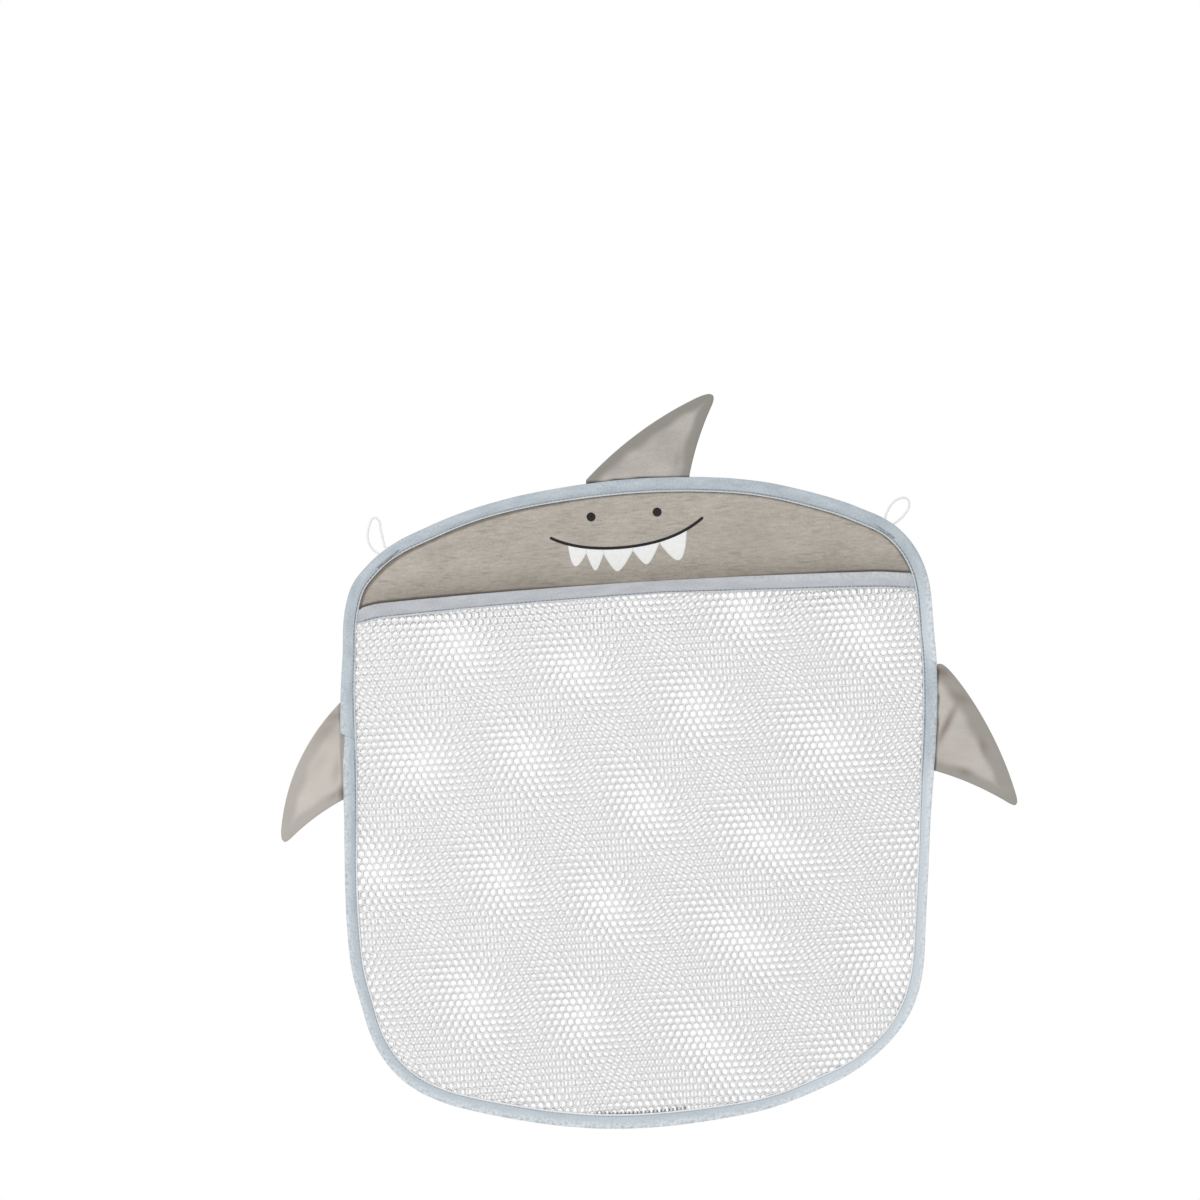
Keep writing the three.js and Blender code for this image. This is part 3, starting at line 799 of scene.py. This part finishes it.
inset = tape.stored("inset")
off_stitch = tape.maths("DIVIDE", tape.minus(inset, size["Stitch Inset"]), pucker_width)
near_stitch = tape.maths("EXPONENT", tape.times(tape.maths("POWER", off_stitch, 2.0), -1.0))
beat = tape.maths("DIVIDE", tape.times(tape.stored("along"), 2 * math.pi), stitch_pitch)
puckered = tape.times(tape.maths("COSINE", beat), near_stitch, pucker_height)
grain = tape.add("ShaderNodeTexNoise", {"Vector": tape.place, "Scale": waver_grain, "Detail": 2.0})
wavering = tape.times(tape.minus(grain, 0.5), waver_height)
swelling = tape.scaled(tape.geo("InputNormal"), tape.maths("ADD", puckered, wavering))
swollen = tape.moved(swept, Offset=swelling)
lip = tape.ramp(inset, size["Stitch Inset"], tape.maths("ADD", size["Stitch Inset"], lip_width))
tape.end(tape.store(swollen, "lip", lip))

# %% [markdown]
# The folded section is drawn as it would be cut across: out along the front leaf, round the fold, back along the rear
# leaf, and home along the inside of the slot. The stitches pull it in, and a small lip stands up inside them.

# %% Section of the edge binding
binding_section = [
    (-2.95, 10.0), (-3.3, 9.92), (-3.52, 9.65), (-3.54, 9.3), (-3.36, 8.95), (-3.1, 8.6), (-3.42, 8.15),
    (-3.86, 7.2), (-4.15, 5.6), (-4.28, 3.8), (-4.2, 2.2), (-3.85, 1.1), (-3.2, 0.4), (-2.5, 0.05), (-1.8, 0.05),
    (-1.1, 0.4), (-0.45, 1.1), (-0.1, 2.2), (-0.03, 3.8), (-0.08, 6.0), (-0.3, 7.5), (-0.55, 8.15), (-0.82, 8.6),
    (-0.55, 9.0), (-0.4, 9.4), (-0.45, 9.75), (-0.8, 10.0), (-1.1, 9.8), (-1.3, 8.6), (-0.8, 4.5), (-1.1, 1.5),
    (-2.15, 0.75), (-3.2, 1.5), (-3.5, 4.5), (-2.6, 8.6), (-2.7, 9.8),
]


def folded(name, points, scale, corners, stitch_line, material):
    """A tape swept along points. Its section has y forwards and the inset from the fold, in millimetres."""
    rail = line_of(name + "_rail", points, scale=scale)
    section = line_of(name + "_section", np.array([(y, inset, 0) for y, inset in corners]) * MM, closed=True)
    sizes = {"Rail": rail, "Section": section, "Stitch Inset": stitch_line, "Material": material}
    piece = tape.grow(name, sizes)
    bpy.data.objects.remove(rail)
    bpy.data.objects.remove(section)
    return piece


# %% [markdown]
# The binding is one tape that starts and ends at the left side. Its end laps over its start, so the last stretch is
# wider and stands out a little, and the start is pressed small below it. The end is cut on a slant. Round the lower
# right and on the left of the crown the tape is rolled towards the back, so it looks narrower there.

# %% Edge binding
lap_height = -139 * MM
lap_length = 11 * MM
end_fade = 42 * MM
start_fade = (3 * MM, 24 * MM)
start_inset, end_rise = 1.9 * MM, 0.9 * MM
start_loss, end_gain = 0.19, 0.1
lap_x, lap_z, _ = on_side(-1, lap_height)
lap_place = run[np.argmin(np.hypot(stops[:, 0] - lap_x, stops[:, 1] - lap_z))]
lap_end = lap_place + edge_length
tape_stations = np.linspace(lap_place - lap_length, lap_end, 1320)
tape_end = smooth_step(lap_end - end_fade, lap_end, tape_stations)
tape_start = 1 - smooth_step(lap_place - start_fade[0], lap_place + start_fade[1], tape_stations)
tape_inset = start_inset * tape_start - end_rise * tape_end
tape_scale = 1 - start_loss * tape_start + end_gain * tape_end
narrow_places = [
    (184, -228, 45, 0.22), (178, -290, 45, 0.2), (145, -370, 45, 0.27), (75, -400, 45, 0.17),
    (-155, -388, 40, 0.07), (-198, -335, 50, 0.15), (-208, -240, 55, 0.14), (-203, -75, 35, 0.1),
    (-178, -20, 28, 0.12), (-110, 9, 60, 0.13),
]
tape_x, tape_z, _ = edge(tape_stations, tape_inset)
for *place, loss in narrow_places:
    tape_scale -= loss * nearness(tape_x, tape_z, *place)
tape_press = np.minimum(tape_scale, 1)
tape_y = bag_middle * (1 - tape_press) + 0.05 * MM * tape_end
tape_line = np.stack([tape_x, tape_y, tape_z], 1)
binding = folded("edge_tape", tape_line, tape_scale, binding_section, stitch_inset, binding_tape)


# %% Slant the tape's end
def points_of(piece):
    flat = np.empty(3 * len(piece.data.vertices))
    piece.data.vertices.foreach_get("co", flat)
    return flat.reshape(-1, 3)


def values_of(piece, name):
    numbers = np.empty(len(piece.data.vertices), "f")
    piece.data.attributes[name].data.foreach_get("value", numbers)
    return numbers


def move_points(piece, points):
    piece.data.vertices.foreach_set("co", points.ravel())
    piece.data.update()


slant = 0.5
slant_length = 9 * MM
slant_pivot = 3 * MM
tape_points = points_of(binding)
tape_along = values_of(binding, "along")
near_end = smooth_step(tape_along.max() - slant_length, tape_along.max(), tape_along)
tape_points[:, 2] -= slant * near_end * (values_of(binding, "inset") - slant_pivot)
move_points(binding, tape_points)
dress(binding, "binding_tape", "edge_binding")

# %% [markdown]
# ## Mouth band
# The second tape is folded down over the top of the pocket net. Its line follows the net's own swell, so it stands
# open where the pocket does. It is sewn on by eye, so it is narrower in the middle, and both ends are pressed flat
# where the binding takes them in.

# %% Line and section of the band
band_section = [
    (-0.55, 12.3), (-0.95, 12.15), (-1.08, 11.6), (-0.85, 11.0), (-0.55, 10.5), (-0.85, 10.0), (-1.2, 9.0),
    (-1.4, 6.5), (-1.45, 3.5), (-1.3, 1.4), (-0.8, 0.4), (0.0, 0.0), (0.8, 0.4), (1.2, 1.4), (1.3, 6.0),
    (1.0, 9.5), (0.6, 10.5), (0.9, 11.6), (0.5, 12.3), (0.2, 12.2), (0.15, 10.5), (0.7, 6.0), (0.7, 1.6),
    (0.0, 0.8), (-0.7, 1.6), (-0.8, 6.0), (-0.15, 10.5), (-0.2, 12.2),
]
band_widths = [(-190, 0.9), (-108, 0.8), (-28, 0.76), (14, 0.72), (53, 0.81), (94, 0.88), (170, 0.94)]
band_inset = 7.6 * MM
left_end, right_end = (edge_at(side, mouth_line(mouth_centre + side * half_width), band_inset) for side in sides)
band_x = np.linspace(right_end, left_end, 420)
band_points = np.stack([band_x, pocket_y(band_x, mouth_line(band_x)), mouth_line(band_x)], 1)
band_scale = np.interp(band_x / MM, *zip(*band_widths))


def to_the_edge(points):
    """Points along the band, spread so that it ends alongside the slanting edge at every height."""
    share = (points[:, 0] - left_end) / (right_end - left_end)
    left, right = (edge_at(side, points[:, 2], band_inset) for side in sides)
    return np.column_stack([left + share * (right - left), points[:, 1:]])


# %% Mouth band
end_share = 0.4
end_reach = (1 * MM, 9 * MM)
band = folded("mouth_tape", band_points, band_scale, band_section, band_stitch, band_tape)
squeezed = points_of(band)
from_end = np.minimum(squeezed[:, 0] - band_x.min(), band_x.max() - squeezed[:, 0])
band_middle = np.interp(squeezed[:, 0], band_x[::-1], band_points[::-1, 1])
end_press = end_share + (1 - end_share) * smooth_step(*end_reach, from_end)
squeezed[:, 1] = band_middle + (squeezed[:, 1] - band_middle) * end_press
move_points(band, to_the_edge(squeezed))
dress(band, "band_tape", "mouth_band")

# %% [markdown]
# ## Stitches
# A seam is one short rod of thread repeated at every stitch. Points at a fixed step along a line carry the rod,
# turned to follow the line. The bar tacks at the loops are the same rule with the rods set close and almost across.

# %% The stitches' rule
stitch = Growth("stitch row", Object="Row", Float="Pitch, Length, Thickness, Lean")
size = stitch.size
stitches = stitch.geo("CurveToPoints", {"Curve": stitch.shape_of("Row"), "Length": size["Pitch"]}, mode="LENGTH")
lean = {"Vector": stitches.outputs["Tangent"], "Angle": size["Lean"]}
leaning = stitch.add("ShaderNodeVectorRotate", lean, rotation_type="Y_AXIS")
turn_to = stitch.add("FunctionNodeAlignRotationToVector", {"Vector": leaning}, axis="X")
rod = stitch.geo("MeshUVSphere", {"Segments": 8, "Rings": 5, "Radius": 0.5})
rod_size = stitch.point(X=size["Length"], Y=size["Thickness"], Z=size["Thickness"])
set_in = {"Points": stitches, "Instance": rod, "Rotation": turn_to, "Scale": rod_size}
stitch.end(stitch.geo("InstanceOnPoints", set_in))


# %% Stitch rows
plain = (seam_thread, stitch_pitch, 2.1 * MM, 0.55 * MM, 0)
zigzag = (dark_thread, 2.6 * MM, 2.6 * MM, 0.62 * MM)
tack = (tack_thread, 0.5 * MM, 1.9 * MM, 0.5 * MM, 72)


def stitch_row(name, points, thread, pitch, length, thickness, lean, *solids):
    """A row of stitches along points on the bag. They lean out of the row by an angle in degrees."""
    line = line_of(name + "_line", points)
    sizes = {"Row": line, "Material": thread, "Pitch": pitch, "Length": length, "Thickness": thickness}
    dress(stitch.grow(name, {**sizes, "Lean": math.radians(lean)}), "thread", *solids)
    bpy.data.objects.remove(line)


seam_x, seam_z, _ = edge(tape_stations, tape_inset + tape_scale * stitch_inset)
for name, y in (("binding_stitches", -3.3 * MM), ("binding_back_stitches", -0.62 * MM)):
    seam_line = np.stack([seam_x, bag_middle + (y - bag_middle) * tape_press, seam_z], 1)
    stitch_row(name, seam_line[20:-6], *plain)
for name, y in (("band_stitches", -0.75 * MM), ("band_back_stitches", 0.75 * MM)):
    seam_line = to_the_edge(band_points + np.outer(band_scale, (0, y, -band_stitch)))
    stitch_row(name, seam_line[8:-8], *plain)

# %% A dark zigzag of stitches behind the front net at the hem, which darkens a short stretch of the net
zigzag_span = (-47 * MM, 12 * MM)
zigzag_inset = 10.9 * MM
zigzag_y = -2.55 * MM
hem_x = np.linspace(*zigzag_span, 60)
hem_z = hem[1] - np.sqrt((hem_radius - zigzag_inset) ** 2 - (hem_x - hem[0]) ** 2)
hem_points = np.stack([hem_x, np.full_like(hem_x, zigzag_y), hem_z], 1)
for number, lean in enumerate((58, -58), 1):
    stitch_row(f"hem_zigzag_{number}", hem_points, *zigzag, lean)

# %% Bar tacks, which lie lower where the tape is pressed small
tack_half = 9.4 * MM
tack_rise = 1.7 * MM
for name, side, inset in (("left", -1, 7.2 * MM), ("right", 1, 6.3 * MM)):
    centre, radius, out, along = loop_seat(side)
    middle = centre + out * (radius - inset)
    press = tape_press[np.argmin(np.hypot(tape_x - middle.x, tape_z - middle.z))]
    middle.y = bag_middle - tack_rise * press
    points = np.array([middle + along * step for step in np.linspace(-tack_half, tack_half, 40)])
    stitch_row(name + "_tack", points, *tack, name + "_bar_tack")

# %% [markdown]
# ## Head
# The head is two plies of cloth, caught by the binding all round. The front one is drawn up by the seam, so it swells
# a little and puckers near the tape. A simulation would find much the same, but a height over the cloth's own plane
# is quicker to steer. Each ply is a closed slab, so that it has two real sides.


# %% Slabs
def slab(name, x, z, front, back, material, values=None):
    """A thin closed piece between two surfaces over one grid of points."""
    points = np.concatenate([np.stack([x, y, z], -1).reshape(-1, 3) for y in (front, back)])
    number = numbered(x)
    ring = np.concatenate([number[0, :-1], number[:-1, -1], number[-1, :0:-1], number[:0:-1, 0]])
    after = np.roll(ring, -1)
    walls = np.stack([ring, ring + x.size, after + x.size, after], 1).tolist()
    faces = grid_faces(number) + [face[::-1] for face in grid_faces(number + x.size)] + walls
    both_sides = {label: np.concatenate([np.ravel(numbers)] * 2) for label, numbers in (values or {}).items()}
    return piece_of(name, points, faces, material, both_sides)


# %% Crown line and swell of the head
head_inset = 5 * MM
head_swell = 2.4 * MM
head_wave = 0.5 * MM
head_pucker = 0.28 * MM
cloth_half = 0.3 * MM
rim_x, rim_z, _ = edge(np.linspace(0, edge_length, 9000), head_inset)
in_head = rim_z > mouth_middle - 16 * MM
left_to_right = np.argsort(rim_x[in_head])
crown_x, crown_z = rim_x[in_head][left_to_right], rim_z[in_head][left_to_right]


def head_y(x, z):
    """The middle of the front ply: a soft swell, slow waves and small puckers along the tape."""
    depth = depth_inside(x, z)
    swell = head_swell * (1 - (1 - np.clip((depth - 9 * MM) / (34 * MM), 0, 1)) ** 2)
    wave = head_wave * np.sin(43 * x + 1.1) * np.sin(52 * z + 0.6) * smooth_step(9 * MM, 30 * MM, depth)
    near_tape = np.exp(-np.maximum(depth - 10 * MM, 0) / (6 * MM)) * smooth_step(7 * MM, 11 * MM, depth)
    pucker = head_pucker * np.sin(560 * x + 3 * np.sin(40 * x)) * near_tape
    return slot_y + 0.1 * MM - swell + wave + pucker


def head_grid(drop, rows=60, columns=330):
    """Columns of points from a line below the mouth up to the crown."""
    x = np.linspace(crown_x[0] + 0.2 * MM, crown_x[-1] - 0.2 * MM, columns)
    top = np.interp(x, crown_x, crown_z)
    foot = np.minimum(mouth_line(x) - drop, top - 0.5 * MM)
    up = np.linspace(0, 1, rows)[:, None]
    return np.broadcast_to(x, (rows, columns)).copy(), foot + (top - foot) * up


def head_ply(name, solid, x, z, y, from_mouth):
    """One ply, which knows how far each point is from the mouth and inside the edge, for the painted shadows above
    the band and along the binding.
    """
    values = {"from_mouth": from_mouth, "depth": depth_inside(x, z)}
    ply = slab(name, x, z, y - cloth_half, y + cloth_half, head_cloth, values)
    dress(ply, "head_cloth", solid)


# %% Head plies
x, z = head_grid(4 * MM)
# The front ply carries its distance from the mouth for the painted shadow above the band, which is made weaker in the
# middle.
lit_middle = 1.4 * MM * np.exp(-(((x - 25 * MM) / (95 * MM)) ** 2))
from_mouth = np.abs(z - mouth_line(x) - 0.1 * MM) + lit_middle
head_ply("head_front_cloth", "head_front", x, z, head_y(x, z), from_mouth)
x, z = head_grid(5.5 * MM)
lining_y = -1.15 * MM + 0.15 * MM * np.sin(37 * x) * np.sin(60 * z)
unshaded = np.full_like(x, 30 * MM)
head_ply("head_lining_cloth", "head_lining", x, z, lining_y, unshaded)

# %% Lining seam
lining_x = np.linspace(-0.185, 0.18, 300)
lining_seam = np.stack([lining_x, np.full_like(lining_x, -0.75 * MM), mouth_line(lining_x) - 4.2 * MM], 1)
stitch_row("lining_stitches", lining_seam, *plain)

# %% [markdown]
# ## Face
# The face is printed on the head: two round eyes, one curved stroke and five white teeth that hang from it. The print
# is a film with almost no thickness, which follows the cloth's own height. A painted mask in the cloth's finish would
# also do, but a film keeps sharp edges from any distance.

# %% Print on the cloth
film = 0.1 * MM


def printed(name, x, z, lift, material):
    """A film on the front ply, over one grid of points."""
    cloth = head_y(x, z) - cloth_half
    dress(slab(name, x, z, cloth - lift, cloth + film, material), "head_cloth")


def smile_line(x):
    """The height of the smile, as a curve measured in millimetres."""
    return np.polyval([5.61e-7, 2.4e-5, 3.752e-3, 0.10686, -22.13], x / MM) * MM


# %% Eyes
eye_radius = 3.0 * MM
u, v = np.meshgrid(np.linspace(-1, 1, 13), np.linspace(-1, 1, 13))
for label, eye_x, eye_z in (("left_eye", -30.3, -1.2), ("right_eye", 14.2, -0.3)):
    round_x = eye_x * MM + eye_radius * u * np.sqrt(1 - v**2 / 2)
    round_z = eye_z * MM + eye_radius * v * np.sqrt(1 - u**2 / 2)
    printed(label, round_x, round_z, 2 * film, print_black)

# %% Teeth
tooth_cuts = [(-46.8, 0), (-34.7, 4.4), (-23.2, 4.1), (-3.3, 3.1), (14.7, 1.9), (33.7, 0)]
tooth_tips = [(-42.2, -33.9), (-29.3, -37.4), (-14.5, -38.7), (5.3, -35.0), (26.6, -33.4)]
outer_fullness, inner_fullness = 0.75, 0.3


def tooth_side(cut, tip):
    """One side of a tooth: straight down from the smile to where two teeth part, then round to the tip."""
    x, drop = np.array(cut) * MM
    tip = np.array(tip) * MM
    fullness = inner_fullness if drop else outer_fullness
    top = np.array((x, smile_line(x)))
    corner = np.array((tip[0] + fullness * (x - tip[0]), tip[1]))
    curve = bent(top - (0, drop), corner, tip, np.linspace(0, 0.985, 20)[:, None])
    return evenly(np.concatenate([top[None], curve]) if drop else curve, 24)


for number, tip in enumerate(tooth_tips, 1):
    left, right = tooth_side(tooth_cuts[number - 1], tip), tooth_side(tooth_cuts[number], tip)
    filled = left + (right - left) * np.linspace(0, 1, 13)[:, None, None]
    filled = filled.transpose(1, 0, 2)[::-1]
    printed(f"tooth_{number}", filled[..., 0], filled[..., 1], film, print_white)

# %% Smile
stroke_half = 0.95 * MM
smile_ends = (-58.7 * MM, 44.9 * MM)
along_x = np.linspace(*smile_ends, 160)
slope = np.gradient(smile_line(along_x), along_x)
normal_x, normal_z = -slope / np.hypot(1, slope), 1 / np.hypot(1, slope)
past_end = ((np.abs(along_x + 6.9 * MM) - 51 * MM) / (0.85 * MM)).clip(0, 1)
reach = np.linspace(-1, 1, 5)[:, None] * stroke_half * np.sqrt(np.clip(1 - past_end**2, 0.02, 1))
printed("smile", along_x + reach * normal_x, smile_line(along_x) + reach * normal_z, 2 * film, print_black)

# %% [markdown]
# ## Fins
# Each fin is two plies sewn face to face along two edges and turned, so it is a thin pillow: round at the sewn edges,
# thicker over the turned-in seam allowance, softer inside. It is drawn as rows that run from the root to the tip. Its
# foot sits in the binding.

# %% Fin outline
fin_tuck = 5 * MM
fin_rows, fin_columns = 64, 33
seam_blur = 2.8
ply_half, allowance_half, loft_half = 0.62, 0.3, 0.75
fin_wave, seam_wobble = 0.7 * MM, 1.2 * MM


def bowed(start, end, bow):
    """A curve from one point to another that stands out sideways by a bow."""
    start, end = np.array(start), np.array(end)
    ahead = (end - start) / np.linalg.norm(end - start)
    control = (start + end) / 2 + 2 * bow * np.array([-ahead[1], ahead[0]])
    return bent(start, control, end, np.linspace(0, 1, 60)[:, None])


def fin_edges(root, reach, sweep, leading_bow, trailing_bow, tip_radius, shoulder):
    """Leading and trailing edge, both from inside the binding to the middle of the rounded tip."""
    tip = np.array([sweep, reach])
    leading = bowed((-root / 2, 0), tip, leading_bow)
    leading[:, 0] += shoulder * np.exp(-leading[:, 1] / (3.6 * MM))
    trailing = bowed(tip, (root / 2, 0), trailing_bow)[::-1]
    leading, trailing = (line[np.linalg.norm(line - tip, axis=1) > tip_radius] for line in (leading, trailing))
    cap = bent(leading[-1], tip, trailing[-1], np.linspace(0, 1, 21)[1:-1, None])
    foot = np.array([[0, -fin_tuck]])
    leading = np.concatenate([leading[:1] + foot, leading, cap[:10]])
    trailing = np.concatenate([trailing[:1] + foot, trailing, cap[:8:-1]])
    return leading, trailing


# %% Fin creases
def fin_creases(a, o, creases):
    """How far creases sink, and how much shade is painted into them, at points along the root and out from it."""
    sunk, crease_shade = np.zeros_like(a), np.zeros_like(a)
    for crease_a, crease_o, angle, length, width, sink in creases:
        da, do = a - crease_a * MM, o - crease_o * MM
        run_on = da * math.cos(angle) + do * math.sin(angle)
        aside = -da * math.sin(angle) + do * math.cos(angle)
        pinch = np.exp(-((run_on / (length * MM)) ** 2) - (aside / (width * MM)) ** 2)
        sunk += sink * MM * pinch
        crease_shade = np.maximum(crease_shade, pinch * min(1, abs(sink)))
    return sunk, crease_shade


# %% Fin rule
def cloth_fin(name, seat, out, along, sizes, look, creases, seed):
    """A pillow between the two edges, on its seat at the binding."""
    bright, seam_widths, seam_shade, root_width, root_shade = look
    seams = fin_edges(*sizes)
    lead, trail = (evenly(seam, fin_rows)[:, None] for seam in seams)
    spread = (1 - np.cos(np.linspace(0, math.pi, fin_columns))) / 2
    flat = lead + (trail - lead) * spread[:, None]
    a, o = flat[..., 0], flat[..., 1]
    from_seams = [np.linalg.norm(flat[:, :, None] - evenly(seam[1:], 200), axis=-1).min(-1) for seam in seams]
    from_seam = np.minimum(*from_seams)
    wobble = seam_wobble * np.sin(a * 230 + seed) * np.sin(o * 190 + 2 * seed)
    turned_in = np.zeros_like(a)
    for away, width in zip(from_seams, seam_widths):
        inner, outer = (width - seam_blur) * MM, (width + seam_blur) * MM
        turned_in = np.maximum(turned_in, 1 - smooth_step(inner, outer, away + wobble))
    freed = smooth_step(-1 * MM, 9 * MM, o)
    loft = loft_half * smooth_step(8 * MM, 20 * MM, from_seam)
    round_edge = np.sqrt(1 - np.exp(-from_seam / (0.7 * MM)))
    half = MM * round_edge * (ply_half + freed * (allowance_half * turned_in + loft))
    sunk, crease_shade = fin_creases(a, o, creases)
    wave = freed * (fin_wave * np.sin(a * 75 + seed) * np.sin(o * 88 + 1.7 * seed) + sunk)
    world = np.array(seat) + a[..., None] * np.array(along) + o[..., None] * np.array(out)
    # Painted shadow at the root, where the fin goes under the binding.
    at_root = 1 - smooth_step(0.4 * root_width * MM, root_width * MM, -depth_inside(world[..., 0], world[..., 2]))
    world[..., 1] += wave
    # The fin's lightness, the painted shade of its seam allowance and of its creases, and its root's painted shadow,
    # carried on its points.
    values = {"bright": np.full_like(a, bright), "allowance": seam_shade * turned_in}
    values |= {"crease": crease_shade, "root": root_shade * at_root}
    return pillow(name, world, half, values)


def pillow(name, middle, half, values):
    """Two sheets of faces round a middle sheet, which share its two sides and its tip and are closed at the foot."""
    sewn = np.zeros(half.shape, bool)
    sewn[:, [0, -1]] = sewn[-1] = True
    thickness = np.where(sewn, 0, half)[..., None] * (0, 1, 0)
    number = numbered(half)
    behind = number.copy()
    behind[~sewn] = half.size + np.arange((~sewn).sum())
    points = np.concatenate([(middle - thickness).reshape(-1, 3), (middle + thickness)[~sewn]])
    foot = np.concatenate([number[0], behind[0, -2:0:-1]]).tolist()
    faces = grid_faces(number.T) + [face[::-1] for face in grid_faces(behind.T)] + [foot]
    both_sides = {label: np.concatenate([numbers.ravel(), numbers[~sewn]]) for label, numbers in values.items()}
    return piece_of(name, points, faces, fin_cloth, both_sides)


# %% [markdown]
# Each fin has its seat, its side, its sizes, its look, its creases and a number that sets its waves. The sizes are
# the root's length, the reach, the sweep, the bows of both edges, the tip's radius and the leading edge's shoulder.
# The look is its brightness, the seam allowances and their painted shade, and the width and the strength of the
# painted shadow at the root. Each crease also paints shade into the cloth.

# %% Where the fins sit
dorsal_x = 2.4 * MM
dorsal_facing = math.acos((dorsal_x - crown[0]) / crown_radius)
dorsal_seat = (dorsal_x, crown[1] + crown_radius * math.sin(dorsal_facing), dorsal_facing)
right_seat = on_side(1, -144 * MM)
left_seat = on_side(-1, -149.4 * MM)

# %% Sizes, looks and creases
dorsal_sizes = (69.8, 58.2, 59, 6.2, -2.4, 16, 0)
dorsal_look = (0.0, (7.2, 7.2), 0.9, 1.1, 0.85)
dorsal_creases = [(27, 9, 1.35, 9, 2.4, 0.45)]
right_sizes = (78.2, 61, 64, 7.5, -2.7, 9.8, 8)
right_look = (0.6, (11.0, 7.2), 0.65, 1.1, 0.75)
right_creases = [
    (-10, 17.5, 1.2, 7, 2.6, 0.55), (21.5, 34, 0.4, 5.5, 2.8, -0.5), (40, 23, 1.5, 4.5, 2.4, 0.5),
    (9, 8.5, -0.42, 16, 2.2, -1.0), (-27, 3.5, 1.3, 6, 3, 0.9),
]
left_sizes = (65.6, 43.8, 65.3, 10.8, -2.5, 12, 0)
left_look = (1.0, (8.0, 8.0), 0.4, 2.0, 0.35)
left_creases = [
    (-23, 3.5, 1.4, 9, 3.5, 0.5), (13, 4, 0.2, 9, 3, 0.35), (28.5, 1.5, 0, 5, 2.5, 0.9),
    (30, 6, 0.9, 5, 1.8, 0.4), (-11, 9, 0.77, 8, 1.7, -0.45), (8, 16, 0.6, 12, 4, -0.2),
    (-13, 8, 1.2, 11, 8, 0.35),
]

# %% All three fins
for solid, (x, z, facing), side, sizes, look, creases, seed in (
    ("dorsal_fin", dorsal_seat, 1, dorsal_sizes, dorsal_look, dorsal_creases, 0.4),
    ("right_fin", right_seat, 1, right_sizes, right_look, right_creases, 1.9),
    ("left_fin", left_seat, -1, left_sizes, left_look, left_creases, 3.1),
):
    seat = np.array((x, bag_middle, z))
    out = np.array((math.cos(facing), 0, math.sin(facing)))
    along = side * np.array((out[2], 0, -out[0]))
    fin = cloth_fin(solid + "_cloth", seat, out, along, [size * MM for size in sizes], look, creases, seed)
    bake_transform(fin)
    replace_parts(fin, solid + "_front", solid + "_back")
    print(fin.name + ":", round(2 * half_area(fin), 4), "square metres of both plies")

# %% [markdown]
# ## Light
# The bag was lit softly from all round on white. A white sky does most of it: the camera sees it as white, and the
# cloth is lit by a dimmer one. One large lamp from the upper left gives the swell and the seams their soft shading.

# %% World
sky_strength = 0.8
world = bpy.data.worlds.new("studio")
bpy.context.scene.world = world
world.use_nodes = True
sky = Nodes(world.node_tree)
sky.tree.nodes.clear()
rays = sky.add("ShaderNodeLightPath").outputs
seen = sky.maths("MAXIMUM", rays["Is Glossy Ray"], rays["Is Transmission Ray"])
seen = sky.maths("MAXIMUM", rays["Is Camera Ray"], seen)
strength = sky.maths("MULTIPLY_ADD", seen, 1 - sky_strength, sky_strength)
shine = sky.add("ShaderNodeBackground", {"Color": (1, 1, 1, 1), "Strength": strength})
sky.add("ShaderNodeOutputWorld", {"Surface": shine})

# %% Lamp and floor
lamp_place = (-0.9, -1.4, 0.9)
lamp_aim = (0.9, 1.4, -1.1)
lamp_data = bpy.data.lights.new("soft_lamp", "AREA")
lamp_data.energy = 9
lamp_data.size = 0.9
lamp = placed("soft_lamp", lamp_data)
lamp_turn = Vector(lamp_aim).to_track_quat("-Z", "Y").to_matrix().to_4x4()
lamp.matrix_world = Matrix.Translation(lamp_place) @ lamp_turn

floor_z = -0.56
floor_corners = [(-1.6, -2.5, floor_z), (1.6, -2.5, floor_z), (1.6, 0.3, floor_z), (-1.6, 0.3, floor_z)]
pale_floor = speckled("pale_floor", (247, 247, 247), (249, 249, 249), 6, 0.9)
floor = piece_of("floor", floor_corners, [[0, 1, 2, 3]], pale_floor)
bpy.context.scene.view_settings.view_transform = "Standard"
